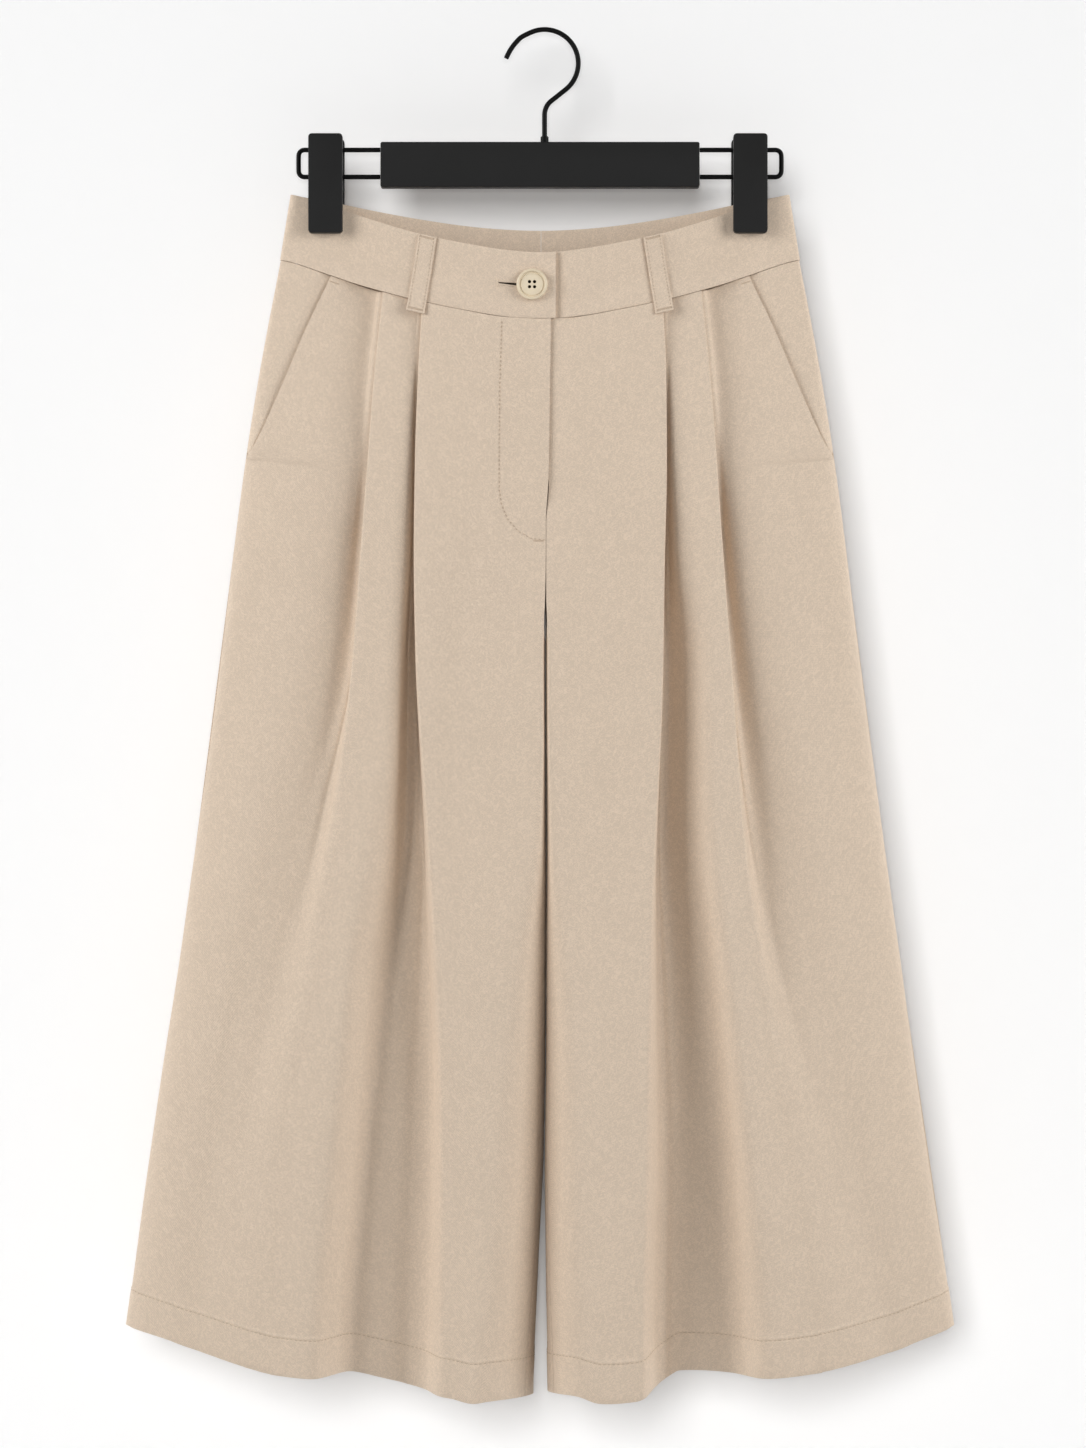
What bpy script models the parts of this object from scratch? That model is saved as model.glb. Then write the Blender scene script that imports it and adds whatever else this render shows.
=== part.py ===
"""Wide-leg bermuda shorts (culottes) with two pleats a side, hung on a clip hanger.

Metres, +Z up.  The origin is the inner top of the hook, where a rail carries the hanger.
The front of the shorts faces -Y and the wearer's right side is at -X.

The tables are in millimetres.  "Across" runs outward from the middle of the cloth, "forward"
runs towards the front, and "drop" runs down from the origin.  A cloth piece is a grid of points:
its rows run from the waist seam by the crotch to the hem, its columns from the middle to the side.
"""
import math

import bmesh
import bpy
import numpy as np

# ---------------------------------------------------------------- driving dimensions (metres)
MM = 0.001
MIDDLE_X = -2.1 * MM        # middle of the bar and of the cloth, which hang a little off the hook
CLOTH_WALL = 1.2 * MM
HEM_WALL = 2.2 * MM         # the hem is turned up, so it is thicker
BAND_WALL = 2.0 * MM
LOOP_WALL = 1.2 * MM
SEAM_GAP = 0.3 * MM
WAIST_GAP = 0.4 * MM        # between the waistband's lower edge and the panels

BUTTON_RADIUS = 10.9 * MM
BUTTON_THICKNESS = 3.2 * MM
BUTTON_HOLE_RADIUS = 1.1 * MM
BUTTON_HOLE_SPREAD = 1.75 * MM
BUTTON_ACROSS, BUTTON_DROP = 5.5, 179.7     # on the wearer's right band end, millimetres

HOOK_WIRE = 1.75 * MM       # radius
HOOK_RADIUS = 23.6 * MM     # of the wire's middle line
HOOK_STEM_X = 1.1 * MM
COLLAR_RADIUS, COLLAR_HEIGHT = 2.8 * MM, 4.4 * MM
LOOP_WIRE = 1.65 * MM       # radius
LOOP_END_ACROSS = 168.9 * MM
LOOP_TOP_DROP, LOOP_LOW_DROP = 82.6 * MM, 101.5 * MM
LOOP_BEND = 4.0 * MM

BAR_LENGTH, BAR_DEPTH, BAR_HEIGHT = 223.0 * MM, 13.0 * MM, 31.4 * MM
BAR_TOP_DROP = 77.7 * MM
BAR_EDGE, JAW_EDGE = 1.2 * MM, 0.9 * MM     # of the rounded edges

JAW_WIDTH = 23.8 * MM
JAW_TOP_DROP, JAW_LOW_DROP = 72.2 * MM, 141.6 * MM
JAW_STEP_DROP = 113.0 * MM  # above it the jaw hugs the wire, below it the waistband
JAW_FACE = 10.5 * MM        # how far the jaw's outer face stands from the middle plane
CLIP_MIDDLE = {"right": 149.8 * MM, "left": 146.9 * MM}
BACK_JAW_SHORTER, BACK_JAW_INWARD = 2.5 * MM, 0.8 * MM      # than the front jaw

CROTCH_DROP = 440.0
FLAT_ROWS = 0.90            # rows down to here run flat to the centre seam, above the slit
LEG_EDGE_RADIUS = 3.0       # of the rounded back edges beside the slit
SEAM_RELIEF = 0.5           # how far a centre seam has drawn apart where the slit begins
POCKET_END_DROP = 298.0     # where the pocket mouth meets the side seam
PLEAT_FOLD = 16.0           # how far a pleat's cloth is folded back at the waist
PLEAT_LAYER = 2.4           # between the middles of two pressed layers

HALVES = {"right": -1.0, "left": 1.0}       # which way "across" runs in each half


# ---------------------------------------------------------------- tables (millimetres)
def table(columns, *rows):
    """A table as a dictionary of named columns."""
    return dict(zip(columns.split(), np.array(rows, dtype=float).T))


OUTLINE = table(
    "drop  half_width  side_radius",
    (160, 181.0, 3.0),
    (240, 196.0, 6.5),
    (300, 205.5, 9.0),
    (412, 220.0, 10.0),
    (580, 242.0, 10.0),
    (905, 289.0, 9.0))

# where the two halves meet, to the wearer's left of the middle, and half the slit between the legs
CENTRE = table(
    "drop  across  half_gap  front  back",
    (203, 4.4, 0.7, 28.5, 22.0),
    (272, 4.2, 0.7, 31.0, 27.0),
    (356, 4.4, 0.7, 33.5, 31.0),
    (440, 3.8, 0.7, 35.5, 33.0),
    (600, 3.5, 0.7, 38.0, 35.0),
    (775, 2.1, 0.9, 41.0, 37.0),
    (860, 1.5, 3.1, 44.0, 39.0),
    (944, 0.4, 5.8, 46.0, 40.0))

# the fly: how far the wearer's right front laps past the centre line, and the left lies under it
FLY = table(
    "row   lap   under  set_back",
    (0.00, 3.3, 2.0, 2.0),
    (0.40, 2.2, 2.0, 2.0),
    (0.49, 1.4, -1.7, 2.0),
    (0.60, -0.15, 0.15, 0.0),
    (1.00, -0.15, 0.15, 0.0))

# the front's folds: a pleat's edge, the floor of its valley, the ridge, and the same again
ACROSS = {
    "right": table(
        "drop  crest  pleat  floor  ridge  pleat_2  floor_2  outer",
        (185, 42, 81.0, 88, 98, 109.0, 118, 140),
        (240, 44, 84.0, 92, 104, 114.5, 124, 152),
        (300, 45, 86.0, 94, 108, 119.0, 128, 162),
        (356, 45, 86.5, 94, 114, 123.0, 132, 170),
        (440, 43, 84.5, 93, 115, 129.0, 141, 180),
        (550, 41, 77.0, 93, 119, 140.0, 164, 200),
        (660, 40, 70.0, 105, 134, 156.0, 192, 222),
        (770, 40, 66.0, 119, 145, 178.0, 212, 240),
        (880, 40, 62.0, 129, 156, 186.0, 222, 255),
        (950, 40, 60.0, 132, 159, 188.0, 226, 258)),
    "left": table(
        "drop  crest  pleat  floor  ridge  pleat_2  floor_2  outer",
        (185, 44, 84.5, 91, 101, 112.0, 121, 143),
        (240, 45, 87.0, 94, 107, 117.5, 127, 153),
        (300, 45, 87.3, 95, 112, 122.0, 131, 163),
        (356, 45, 86.5, 96, 117, 125.5, 135, 172),
        (440, 45, 85.0, 95, 118, 131.5, 142, 182),
        (550, 44, 79.5, 92, 121, 139.0, 158, 198),
        (660, 43, 76.5, 97, 131, 153.0, 178, 215),
        (770, 42, 75.5, 99, 140, 172.0, 200, 234),
        (880, 41, 73.0, 97, 152, 190.0, 222, 254),
        (950, 40, 71.0, 97, 157, 198.0, 232, 262)),
}
FORWARD = {
    "right": table(
        "drop  crest  pleat  floor  ridge  pleat_2  floor_2  outer",
        (185, 27.5, 24.5, 19.7, 19.5, 18.0, 13.0, 7.5),
        (240, 31.0, 29.5, 24.5, 25.5, 24.5, 19.5, 14.0),
        (300, 33.0, 34.0, 19.0, 29.0, 29.0, 21.0, 19.0),
        (356, 34.5, 37.0, 15.0, 32.0, 32.5, 22.0, 21.0),
        (440, 35.5, 39.0, 12.0, 34.0, 34.0, 22.0, 22.0),
        (550, 37.0, 40.0, 13.0, 36.5, 35.5, 22.0, 23.0),
        (660, 39.5, 40.5, 15.0, 39.5, 37.5, 23.0, 21.0),
        (770, 43.0, 41.5, 17.0, 42.0, 39.0, 25.0, 20.0),
        (880, 47.0, 44.0, 17.5, 44.5, 41.5, 28.0, 17.0),
        (950, 50.0, 46.0, 19.0, 46.0, 42.0, 29.0, 16.0)),
    "left": table(
        "drop  crest  pleat  floor  ridge  pleat_2  floor_2  outer",
        (185, 27.5, 24.5, 19.7, 19.5, 18.0, 13.0, 7.5),
        (240, 31.0, 29.5, 24.5, 25.5, 24.5, 19.5, 14.0),
        (300, 33.5, 34.0, 17.0, 29.0, 29.0, 21.0, 19.0),
        (356, 35.0, 37.5, 12.0, 33.0, 32.5, 22.0, 21.0),
        (440, 36.5, 39.5, 9.0, 35.5, 34.5, 21.0, 22.0),
        (550, 38.0, 40.5, 10.0, 38.5, 36.5, 20.0, 23.0),
        (660, 40.0, 42.0, 12.0, 41.0, 38.5, 25.0, 23.0),
        (770, 43.0, 44.0, 14.0, 42.5, 39.5, 29.0, 22.0),
        (880, 47.0, 46.0, 14.5, 44.5, 42.0, 31.0, 19.0),
        (950, 50.0, 47.0, 16.0, 46.0, 42.0, 30.0, 17.0)),
}
# how far down each of those lines the hem lies
HEM = {
    "right": table(
        "centre  crest  pleat  floor  ridge  pleat_2  floor_2  outer  side",
        (949.0, 952.5, 949.5, 934.0, 936.5, 933.0, 923.0, 914.0, 904.5)),
    "left": table(
        "centre  crest  pleat  floor  ridge  pleat_2  floor_2  outer  side",
        (948.0, 952.5, 951.0, 934.0, 936.5, 931.5, 924.5, 917.0, 905.0)),
}
# how far a pleat is still pressed: 1 where it is stitched, 0 where it has opened
PRESSED = table(
    "drop  share",
    (236, 1.00),
    (272, 0.80),
    (314, 0.50),
    (356, 0.30),
    (440, 0.18),
    (600, 0.10),
    (800, 0.00))
# how far towards its floor an open pleat's steep wall runs, and where the valley's far rim lies:
# how far along and how far up from the floor to the next ridge
VALLEY = {
    "right": table(
        "drop  wall  along  up  along_2  up_2",
        (236, 0.65, 0.50, 0.50, 0.40, 0.50),
        (356, 0.60, 0.26, 0.80, 0.38, 0.55),
        (500, 0.60, 0.36, 0.84, 0.36, 0.60),
        (560, 0.65, 0.50, 0.76, 0.38, 0.55),
        (675, 0.55, 0.56, 0.60, 0.40, 0.50),
        (950, 0.60, 0.50, 0.50, 0.40, 0.50)),
    "left": table(
        "drop  wall  along  up  along_2  up_2",
        (236, 0.65, 0.50, 0.50, 0.40, 0.50),
        (356, 0.60, 0.24, 0.80, 0.38, 0.55),
        (500, 0.60, 0.36, 0.80, 0.36, 0.60),
        (560, 0.65, 0.50, 0.58, 0.38, 0.55),
        (675, 0.60, 0.54, 0.34, 0.40, 0.50),
        (812, 0.55, 0.60, 0.14, 0.40, 0.50),
        (950, 0.55, 0.60, 0.14, 0.40, 0.50)),
}
# radius of the soft roll at the front of the inner leg
ROLL = table(
    "drop  right  left",
    (500, 3.0, 3.0),
    (620, 4.0, 3.5),
    (740, 10.0, 6.0),
    (840, 17.0, 10.0),
    (944, 21.0, 12.0))

# the back: soft folds at shares of the half width, and how far back each stands down the leg
BACK_FOLDS = {
    "right": table(
        "share  waist  hip   thigh  knee  hem  hem_drop",
        (0.84, 5.0, 13.0, 15.0, 17.0, 15.0, 914.0),
        (0.64, 9.5, 23.0, 29.0, 34.0, 39.0, 928.0),
        (0.45, 13.5, 27.0, 29.0, 26.0, 22.0, 931.0),
        (0.25, 17.5, 29.0, 33.0, 37.0, 42.0, 941.0)),
    "left": table(
        "share  waist  hip   thigh  knee  hem  hem_drop",
        (0.82, 5.5, 14.0, 16.0, 15.0, 14.0, 915.0),
        (0.61, 10.0, 24.0, 30.0, 36.0, 40.0, 929.0),
        (0.42, 14.0, 27.5, 28.0, 24.0, 21.0, 931.0),
        (0.22, 17.5, 29.5, 34.0, 38.0, 43.0, 942.0)),
}
BACK_LEVELS = (180.0, 290.0, 430.0, 680.0, 940.0)

# the waistband: its top and bottom edges in front, pinched flat where the clips hold it
BAND_FRONT = table(
    "top_across  top_forward  top_drop  low_across  low_forward  low_drop",
    (0.0, 28.0, 157.3, 0.0, 28.5, 203.0),
    (25.0, 27.2, 155.4, 25.0, 28.2, 201.7),
    (52.0, 24.0, 150.6, 53.0, 26.9, 197.0),
    (84.0, 17.3, 143.2, 87.0, 23.4, 189.6),
    (110.0, 9.5, 134.8, 114.0, 16.4, 182.0),
    (124.0, 4.2, 129.8, 129.0, 11.6, 177.2),
    (133.0, 2.4, 126.3, 138.0, 8.8, 174.0),
    (150.0, 2.4, 120.5, 154.5, 6.4, 168.2),
    (166.0, 2.4, 116.0, 172.5, 4.6, 162.0),
    (172.2, 1.9, 114.5, 179.4, 2.6, 160.3),
    (173.6, 0.0, 114.2, 181.0, 0.0, 160.0))
BAND_BACK = table(
    "top_across  top_forward  top_drop  low_across  low_forward  low_drop",
    (0.0, -20.0, 137.0, 0.0, -22.0, 183.0),
    (25.0, -19.6, 136.2, 25.0, -21.6, 182.2),
    (52.0, -17.6, 134.0, 53.0, -19.8, 180.0),
    (84.0, -13.0, 129.9, 86.0, -16.2, 176.0),
    (110.0, -7.6, 125.8, 113.0, -12.0, 172.2),
    (124.0, -4.0, 123.4, 128.0, -9.4, 169.6),
    (133.0, -2.4, 121.6, 137.0, -7.8, 168.0),
    (150.0, -2.4, 118.2, 154.5, -6.0, 164.8),
    (166.0, -2.4, 115.4, 172.5, -4.4, 161.4),
    (172.2, -1.9, 114.4, 179.4, -2.6, 160.2),
    (173.6, 0.0, 114.2, 181.0, 0.0, 160.0))
BAND_LAP = 6.6              # the right band end reaches past the centre line
BAND_UNDERLAP = 3.0         # the left band end lies under it
BAND_SET_BACK = 2.6
BAND_RISE = 9.0             # the length over which the left band comes forward again

POCKET_MOUTH = table(
    "drop  across",
    (170, 145.5),
    (211, 164.5),
    (248, 180.0),
    (287, 198.0),
    (298, 203.5))
HIP_PANEL_TUCK = 14.0       # how far the hip panel reaches in behind the pocket mouth
HIP_PANEL_RISE = 7.0        # the length over which it comes level with the front panel
HIP_PANEL_BEHIND = 1.65     # how far it lies behind the front panel, in walls
# the same in its last three rows, where it runs out to a point at the side seam
HIP_PANEL_END = (1.0, 1.45, 2.1)

# the middle of a belt loop at the band's top and at its lower end, which lies on the panel
BELT_LOOP = {"top_across": 77.9, "low_across": 86.2, "low_share": 1.19,
             "gap": 0.6, "low_lift": 1.8, "width": 12.6}

# the hook's stem and soft bend below its arc, and its straight tip, from the stem's middle line
HOOK_BEND = table(
    "across  drop",
    (0.0, 77.1),
    (0.0, 68.0),
    (0.0, 61.0),
    (0.3, 55.3),
    (2.6, 50.3),
    (8.2, 45.5))
HOOK_TIP = table(
    "across  drop",
    (-23.6, 12.0),
    (-27.4, 17.8))
HOOK_ARC = (-45.0, 146.0)   # where the arc starts and ends, in degrees

# the button's turned profile as shares of its radius and thickness, from the front's middle
BUTTON_PROFILE = table(
    "radius  height",
    (0.00, 0.62),
    (0.56, 0.62),
    (0.70, 0.72),
    (0.80, 1.00),
    (0.92, 1.00),
    (1.00, 0.70),
    (1.00, 0.35),
    (0.86, 0.00),
    (0.00, 0.00))

# rows of every cloth panel: 0 waist seam, 1 crotch level, 2 hem
PANEL_ROWS = (0, 0.10, 0.20, 0.30, 0.40, 0.45, 0.49, 0.60, 0.75, 0.90, 0.95, 1,
              1.08, 1.20, 1.35, 1.50, 1.65, 1.80, 1.94, 1.947, 2)
# places along the front's stations, and how many steps lead from the crest to each next station
CREST, FLOOR_2, FRONT_SIDE = 7, 23, 27
FRONT_STEPS = (2, 2, 2, 1, 2, 2, 1, 2, 2, 2, 2, 2, 1, 2, 2, 1)
# the same for the back, from the roll beside the side seam to the shoulder by the centre back
BACK_SIDE, BACK_SHOULDER = 1, 7
BACK_STEPS = (2, 2, 2, 2, 2)
# shares of the stretches that end at a seam; the step beside the seam is short
BESIDE_CENTRE = (0, 0.05, 0.18, 0.32, 0.46, 0.60, 0.80)
BESIDE_MOUTH = (0, 0.2, 0.4, 0.6, 0.8, 0.95, 1)
BESIDE_SIDE = (0, 0.15, 0.5)
BESIDE_BACK_CENTRE = (0, 0.17, 0.34, 0.51, 0.68, 0.84, 0.97, 1)
BAND_SHARES = (0, 0.26, 0.52, 0.68, 0.84, 1)
BAND_STATIONS = (2.5, 3, 3.5, 4, 4.5, 5, 5.5, 6, 7, 8, 9, 10, 10.5, 11, 11.5, 11.85, 12)
BAND_MIDDLE = 2             # the band's station at the middle of the cloth
LOOP_LINE, CLIP_LINE = 3, 7  # lines of the band tables beside the belt loop and under the clip
# where each row's centre seam or inseam lies among the seven centre stations
SEAM_PLACE = table(
    "row   front  back",
    (0.90, 5.0, 1.0),
    (0.95, 3.6, 2.4),
    (1.00, 3.0, 3.0),
    (1.20, 3.1, 3.1),
    (1.60, 4.2, 4.2),
    (2.00, 5.3, 5.3))
MOUTH_SAMPLES = 61


# ---------------------------------------------------------------- curves
def smooth(at, x, y):
    """Monotone cubic curve through the points (x, y), level beyond both ends."""
    at = np.clip(at, x[0], x[-1])
    run = np.diff(x)
    slope = np.diff(y) / run
    product = slope[:-1] * slope[1:]
    total = np.where(product > 0, slope[:-1] + slope[1:], 1.0)
    inner = np.where(product > 0, 2.0 * product / total, 0.0)
    tangent = np.concatenate([slope[:1], inner, slope[-1:]])
    i = np.clip(np.searchsorted(x, at, side="right") - 1, 0, len(x) - 2)
    t = (at - x[i]) / run[i]
    return (y[i] * (1 + 2 * t) * (1 - t) ** 2 + y[i + 1] * t * t * (3 - 2 * t)
            + run[i] * (tangent[i] * t * (1 - t) ** 2 - tangent[i + 1] * t * t * (1 - t)))


def ease(t):
    """0 to 1 with level ends."""
    t = np.clip(t, 0.0, 1.0)
    return t * t * (3.0 - 2.0 * t)


def spline(points, where):
    """Centripetal Catmull-Rom curve through points[row, station], read at where[row, column]."""
    first = np.clip(np.floor(where).astype(int), 1, points.shape[1] - 3)
    row = np.arange(len(points))[:, None]
    p0, p1, p2, p3 = (points[row, first + shift] for shift in (-1, 0, 1, 2))
    knot = [np.zeros(where.shape + (1,))]
    for a, b in ((p0, p1), (p1, p2), (p2, p3)):
        length = np.linalg.norm(b - a, axis=-1, keepdims=True)
        knot.append(knot[-1] + np.sqrt(np.maximum(length, 1e-6)))
    k0, k1, k2, k3 = knot
    t = k1 + (where - first)[..., None] * (k2 - k1)
    a1 = ((k1 - t) * p0 + (t - k0) * p1) / (k1 - k0)
    a2 = ((k2 - t) * p1 + (t - k1) * p2) / (k2 - k1)
    a3 = ((k3 - t) * p2 + (t - k2) * p3) / (k3 - k2)
    b1 = ((k2 - t) * a1 + (t - k0) * a2) / (k2 - k0)
    b2 = ((k3 - t) * a2 + (t - k1) * a3) / (k3 - k1)
    return ((k2 - t) * b1 + (t - k1) * b2) / (k2 - k1)


def station(across, forward, drop):
    """One station of every row, as points (across, forward, drop)."""
    across, forward, drop = np.broadcast_arrays(across, forward, drop)
    return np.stack([across, forward, drop], axis=-1).astype(float)


def drop_at(rows, top, hem):
    """Drop of a station at each row: 0 is the waist seam, 1 the crotch level and 2 the hem."""
    upper, lower = np.clip(rows, 0, 1), np.clip(rows - 1, 0, 1)
    return top + (CROTCH_DROP - top) * upper + (hem - CROTCH_DROP) * lower


def seam_drop(band, across):
    """Drop of the waist seam, which the band's lower edge follows."""
    return smooth(np.abs(across), band["low_across"], band["low_drop"])


# ---------------------------------------------------------------- sections of the cloth
def centre_stations(half, rows, hem, face):
    """Seven stations beside the centre line, from the back's shoulder round to the front's.

    Below the slit they are the rounded back edge of the leg, its inner wall and its rounded
    front edge.  Above it the panel is flat and ends at its corner station: the sixth in front,
    the second behind.
    """
    side = HALVES[half]
    drop = drop_at(rows, CENTRE["drop"][0] if face == "front" else BAND_BACK["low_drop"][0], hem)
    middle = side * smooth(drop, CENTRE["drop"], CENTRE["across"])
    wall = middle + smooth(drop, CENTRE["drop"], CENTRE["half_gap"]) + 0.5 * CLOTH_WALL / MM
    front = smooth(drop, CENTRE["drop"], CENTRE["front"])
    back = -smooth(drop, CENTRE["drop"], CENTRE["back"])
    ease_off = np.interp(rows, (0.7, FLAT_ROWS), (0.0, SEAM_RELIEF))
    r, roll = LEG_EDGE_RADIUS, smooth(drop, ROLL["drop"], ROLL[half])
    rounded = ((r, back), (0.3 * r, back + 0.3 * r), (0, back + r), (0, 0.0),
               (0, front - roll), (0.3 * roll, front - 0.3 * roll), (roll, front))
    if face == "back":
        end, forward = middle + ease_off, back
        flat = (9.0, 0.0, -10.0, -20.0, -30.0, -40.0, -50.0)
    else:
        reach = {"right": "lap", "left": "under"}[half]
        end = middle - np.interp(rows, FLY["row"], FLY[reach]) + ease_off
        forward = front - (np.interp(rows, FLY["row"], FLY["set_back"]) if half == "left" else 0.0)
        flat = (-50.0, -40.0, -30.0, -20.0, -10.0, 0.0, 9.0)
    parted = (rows > FLAT_ROWS)[:, None]
    return [np.where(parted, station(wall + inward, depth, drop), station(end + beyond, forward, drop))
            for (inward, depth), beyond in zip(rounded, flat)]


def pleat_stations(valley, edge, floor):
    """The six stations of a pleat, from its edge to the start of its valley floor.

    Pressed, they run to the edge, back under it by PLEAT_FOLD and out again, a layer apart.
    Open, they follow one steep step from the edge down to the floor, over a share of the way.
    """
    step = 0.6 * PLEAT_LAYER
    back = (-step, 0.0, -step, step - PLEAT_FOLD, -PLEAT_FOLD, step - PLEAT_FOLD)
    down = (0.0, 0.5, 1.0, 1.0, 1.5, 2.0)
    along = (-0.06, 0.06, 0.22, 0.42, 0.62, 0.82)
    drop_edge, drop_floor = edge[2], floor[2]
    share = smooth(drop_edge, PRESSED["drop"], PRESSED["share"])
    wall = smooth(drop_edge, valley["drop"], valley["wall"])
    stations = []
    for b, d, t in zip(back, down, along):
        across = share * (edge[0] + b) + (1 - share) * (edge[0] + (floor[0] - edge[0]) * t)
        open_forward = edge[1] + (floor[1] - edge[1]) * ease(t / wall)
        forward = share * (edge[1] - d * PLEAT_LAYER) + (1 - share) * open_forward
        stations.append(station(across, forward, drop_edge + (drop_floor - drop_edge) * max(t, 0)))
    return stations


def rim_station(valley, floor, ridge, rim):
    """The far rim of a valley, part of the way from its floor to the next ridge."""
    along, up = (smooth(floor[2], valley["drop"], valley[key + rim]) for key in ("along", "up"))
    return station(floor[0] + (ridge[0] - floor[0]) * along,
                   floor[1] + (ridge[1] - floor[1]) * up,
                   floor[2] + (ridge[2] - floor[2]) * along)


def side_stations(rows, band, side_hem):
    """The rounded side: a roll in front, the side line itself and a roll behind."""
    drop = drop_at(rows, band["low_drop"][-1], side_hem)
    width = smooth(drop, OUTLINE["drop"], OUTLINE["half_width"])
    radius = smooth(drop, OUTLINE["drop"], OUTLINE["side_radius"])
    return [station(width - 0.5 * radius, 0.87 * radius, drop), station(width, 0.0, drop),
            station(width - 0.5 * radius, -0.87 * radius, drop)]


def front_stations(half, rows):
    """All stations of a front panel, from the inner side of the leg out to the side."""
    across, forward, hem = ACROSS[half], FORWARD[half], {k: v[0] for k, v in HEM[half].items()}

    def line(name):
        top = seam_drop(BAND_FRONT, across[name][0])
        drop = drop_at(rows, top, hem[name])
        return (smooth(drop, across["drop"], across[name]),
                smooth(drop, forward["drop"], forward[name]), drop)

    stations = centre_stations(half, rows, hem["centre"], "front")
    stations.append(station(*line("crest")))
    for edge, floor, after, rim in (("pleat", "floor", "ridge", ""),
                                    ("pleat_2", "floor_2", "outer", "_2")):
        stations += pleat_stations(VALLEY[half], line(edge), line(floor))
        stations += [station(*line(floor)), rim_station(VALLEY[half], line(floor), line(after), rim),
                     station(*line(after))]
    stations += side_stations(rows, BAND_FRONT, hem["side"])
    return np.stack(stations, axis=1)


def back_stations(half, rows):
    """All stations of a back panel, from the side to the centre back and round the inner leg."""
    stations = side_stations(rows, BAND_BACK, HEM[half]["side"][0])
    folds = BACK_FOLDS[half]
    for i, share in enumerate(folds["share"]):
        top = seam_drop(BAND_BACK, share * BAND_BACK["low_across"][-1])
        drop = drop_at(rows, top, folds["hem_drop"][i])
        width = smooth(drop, OUTLINE["drop"], OUTLINE["half_width"])
        depth = np.array([folds[level][i] for level in ("waist", "hip", "thigh", "knee", "hem")])
        stations.append(station(share * width, -smooth(drop, np.array(BACK_LEVELS), depth), drop))
    stations += centre_stations(half, rows, HEM[half]["centre"][0], "back")
    stations.append(stations[-1] + (20.0, 0.0, 0.0))
    return np.stack(stations, axis=1)


def seam_places(rows, face):
    """Where each row's centre seam or inseam lies among the seven centre stations.

    5 is the end of the flat front, 1 the end of the flat back and 3 the inner wall of the leg.
    Both rises turn in to the crotch point on the inner wall.  Further down, the inseam rolls
    forward round the inner leg and shows beside its edge at the hem.
    """
    return np.interp(rows, SEAM_PLACE["row"], SEAM_PLACE[face])


def spread(start, end, shares):
    """Places at shares of the way from start to end, a row each."""
    return start + (end - start) * np.array(shares, dtype=float)


def front_places(rows, last):
    """Columns of a front panel as places along its stations; last is where each row ends."""
    ones = np.ones((len(rows), 1))
    inner = spread(seam_places(rows, "front")[:, None], CREST, BESIDE_CENTRE)
    steps = [CREST + i + np.arange(n) / n for i, n in enumerate(FRONT_STEPS)]
    middle = ones * np.concatenate(steps)
    return np.concatenate([inner, middle, spread(FLOOR_2, last[:, None], BESIDE_MOUTH)], axis=1)


def back_places(rows):
    """Columns of a back panel as places along its stations, from the side to the inseam."""
    ones = np.ones((len(rows), 1))
    side = ones * (BACK_SIDE + np.array(BESIDE_SIDE))
    steps = [BACK_SIDE + 1 + i + np.arange(n) / n for i, n in enumerate(BACK_STEPS)]
    middle = ones * np.concatenate(steps)
    end = BACK_SHOULDER + seam_places(rows, "back")[:, None]
    return np.concatenate([side, middle, spread(BACK_SHOULDER, end, BESIDE_BACK_CENTRE)], axis=1)


def pocket_ends(stations, rows):
    """Place along the stations where each row of a front panel meets the pocket mouth."""
    places = np.tile(np.linspace(FLOOR_2, FRONT_SIDE, MOUTH_SAMPLES), (len(rows), 1))
    points = spline(stations, places)
    past = points[..., 0] - smooth(points[..., 2], POCKET_MOUTH["drop"], POCKET_MOUTH["across"])
    ends = [np.interp(0.0, row, place) for row, place in zip(past, places)]
    below = points[:, -1, 2] > POCKET_END_DROP - 3.0
    return np.where(below, float(FRONT_SIDE), ends)


def part_edges(points, first=True, last=True, seam=None):
    """Draw the sewn edges back, so that neighbours lie SEAM_GAP apart.

    The top row follows the waist seam of the band that is given as seam.
    """
    half_gap = 0.5 * SEAM_GAP / MM
    for wanted, edge, inside in ((first, 0, 1), (last, -1, -2)):
        if wanted:
            along = points[:, inside] - points[:, edge]
            points[:, edge] += half_gap * along / np.linalg.norm(along, axis=-1, keepdims=True)
    if seam:
        points[0, :, 2] = seam_drop(seam, points[0, :, 0]) + WAIST_GAP / MM
    return points


def surface_normals(points):
    """Unit normals of a grid of points, pointing into the garment."""
    down, along = np.gradient(points, axis=0), np.gradient(points, axis=1)
    normal = np.cross(along, down)
    return normal / np.linalg.norm(normal, axis=-1, keepdims=True)


# ---------------------------------------------------------------- objects
def material(name, colour, roughness, metallic=0.0):
    """A plain Principled material."""
    made = bpy.data.materials.new(name)
    made.use_nodes = True
    shader = made.node_tree.nodes["Principled BSDF"]
    shader.inputs["Base Color"].default_value = (*colour, 1.0)
    shader.inputs["Roughness"].default_value = roughness
    shader.inputs["Metallic"].default_value = metallic
    return made


def add_object(name, mesh, finish):
    """Put a mesh into the collection as a named object with its own material."""
    made = bpy.data.objects.new(name, mesh)
    collection.objects.link(made)
    colour, roughness, metallic = FINISHES[finish]
    mesh.materials.clear()
    mesh.materials.append(material(name, colour, roughness, metallic))
    return made


def world(points, half):
    """Table points (across, forward, drop) as world points in metres."""
    x = MIDDLE_X + HALVES[half] * points[..., 0] * MM
    return np.stack([x, -points[..., 1] * MM, -points[..., 2] * MM], axis=-1)


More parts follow.
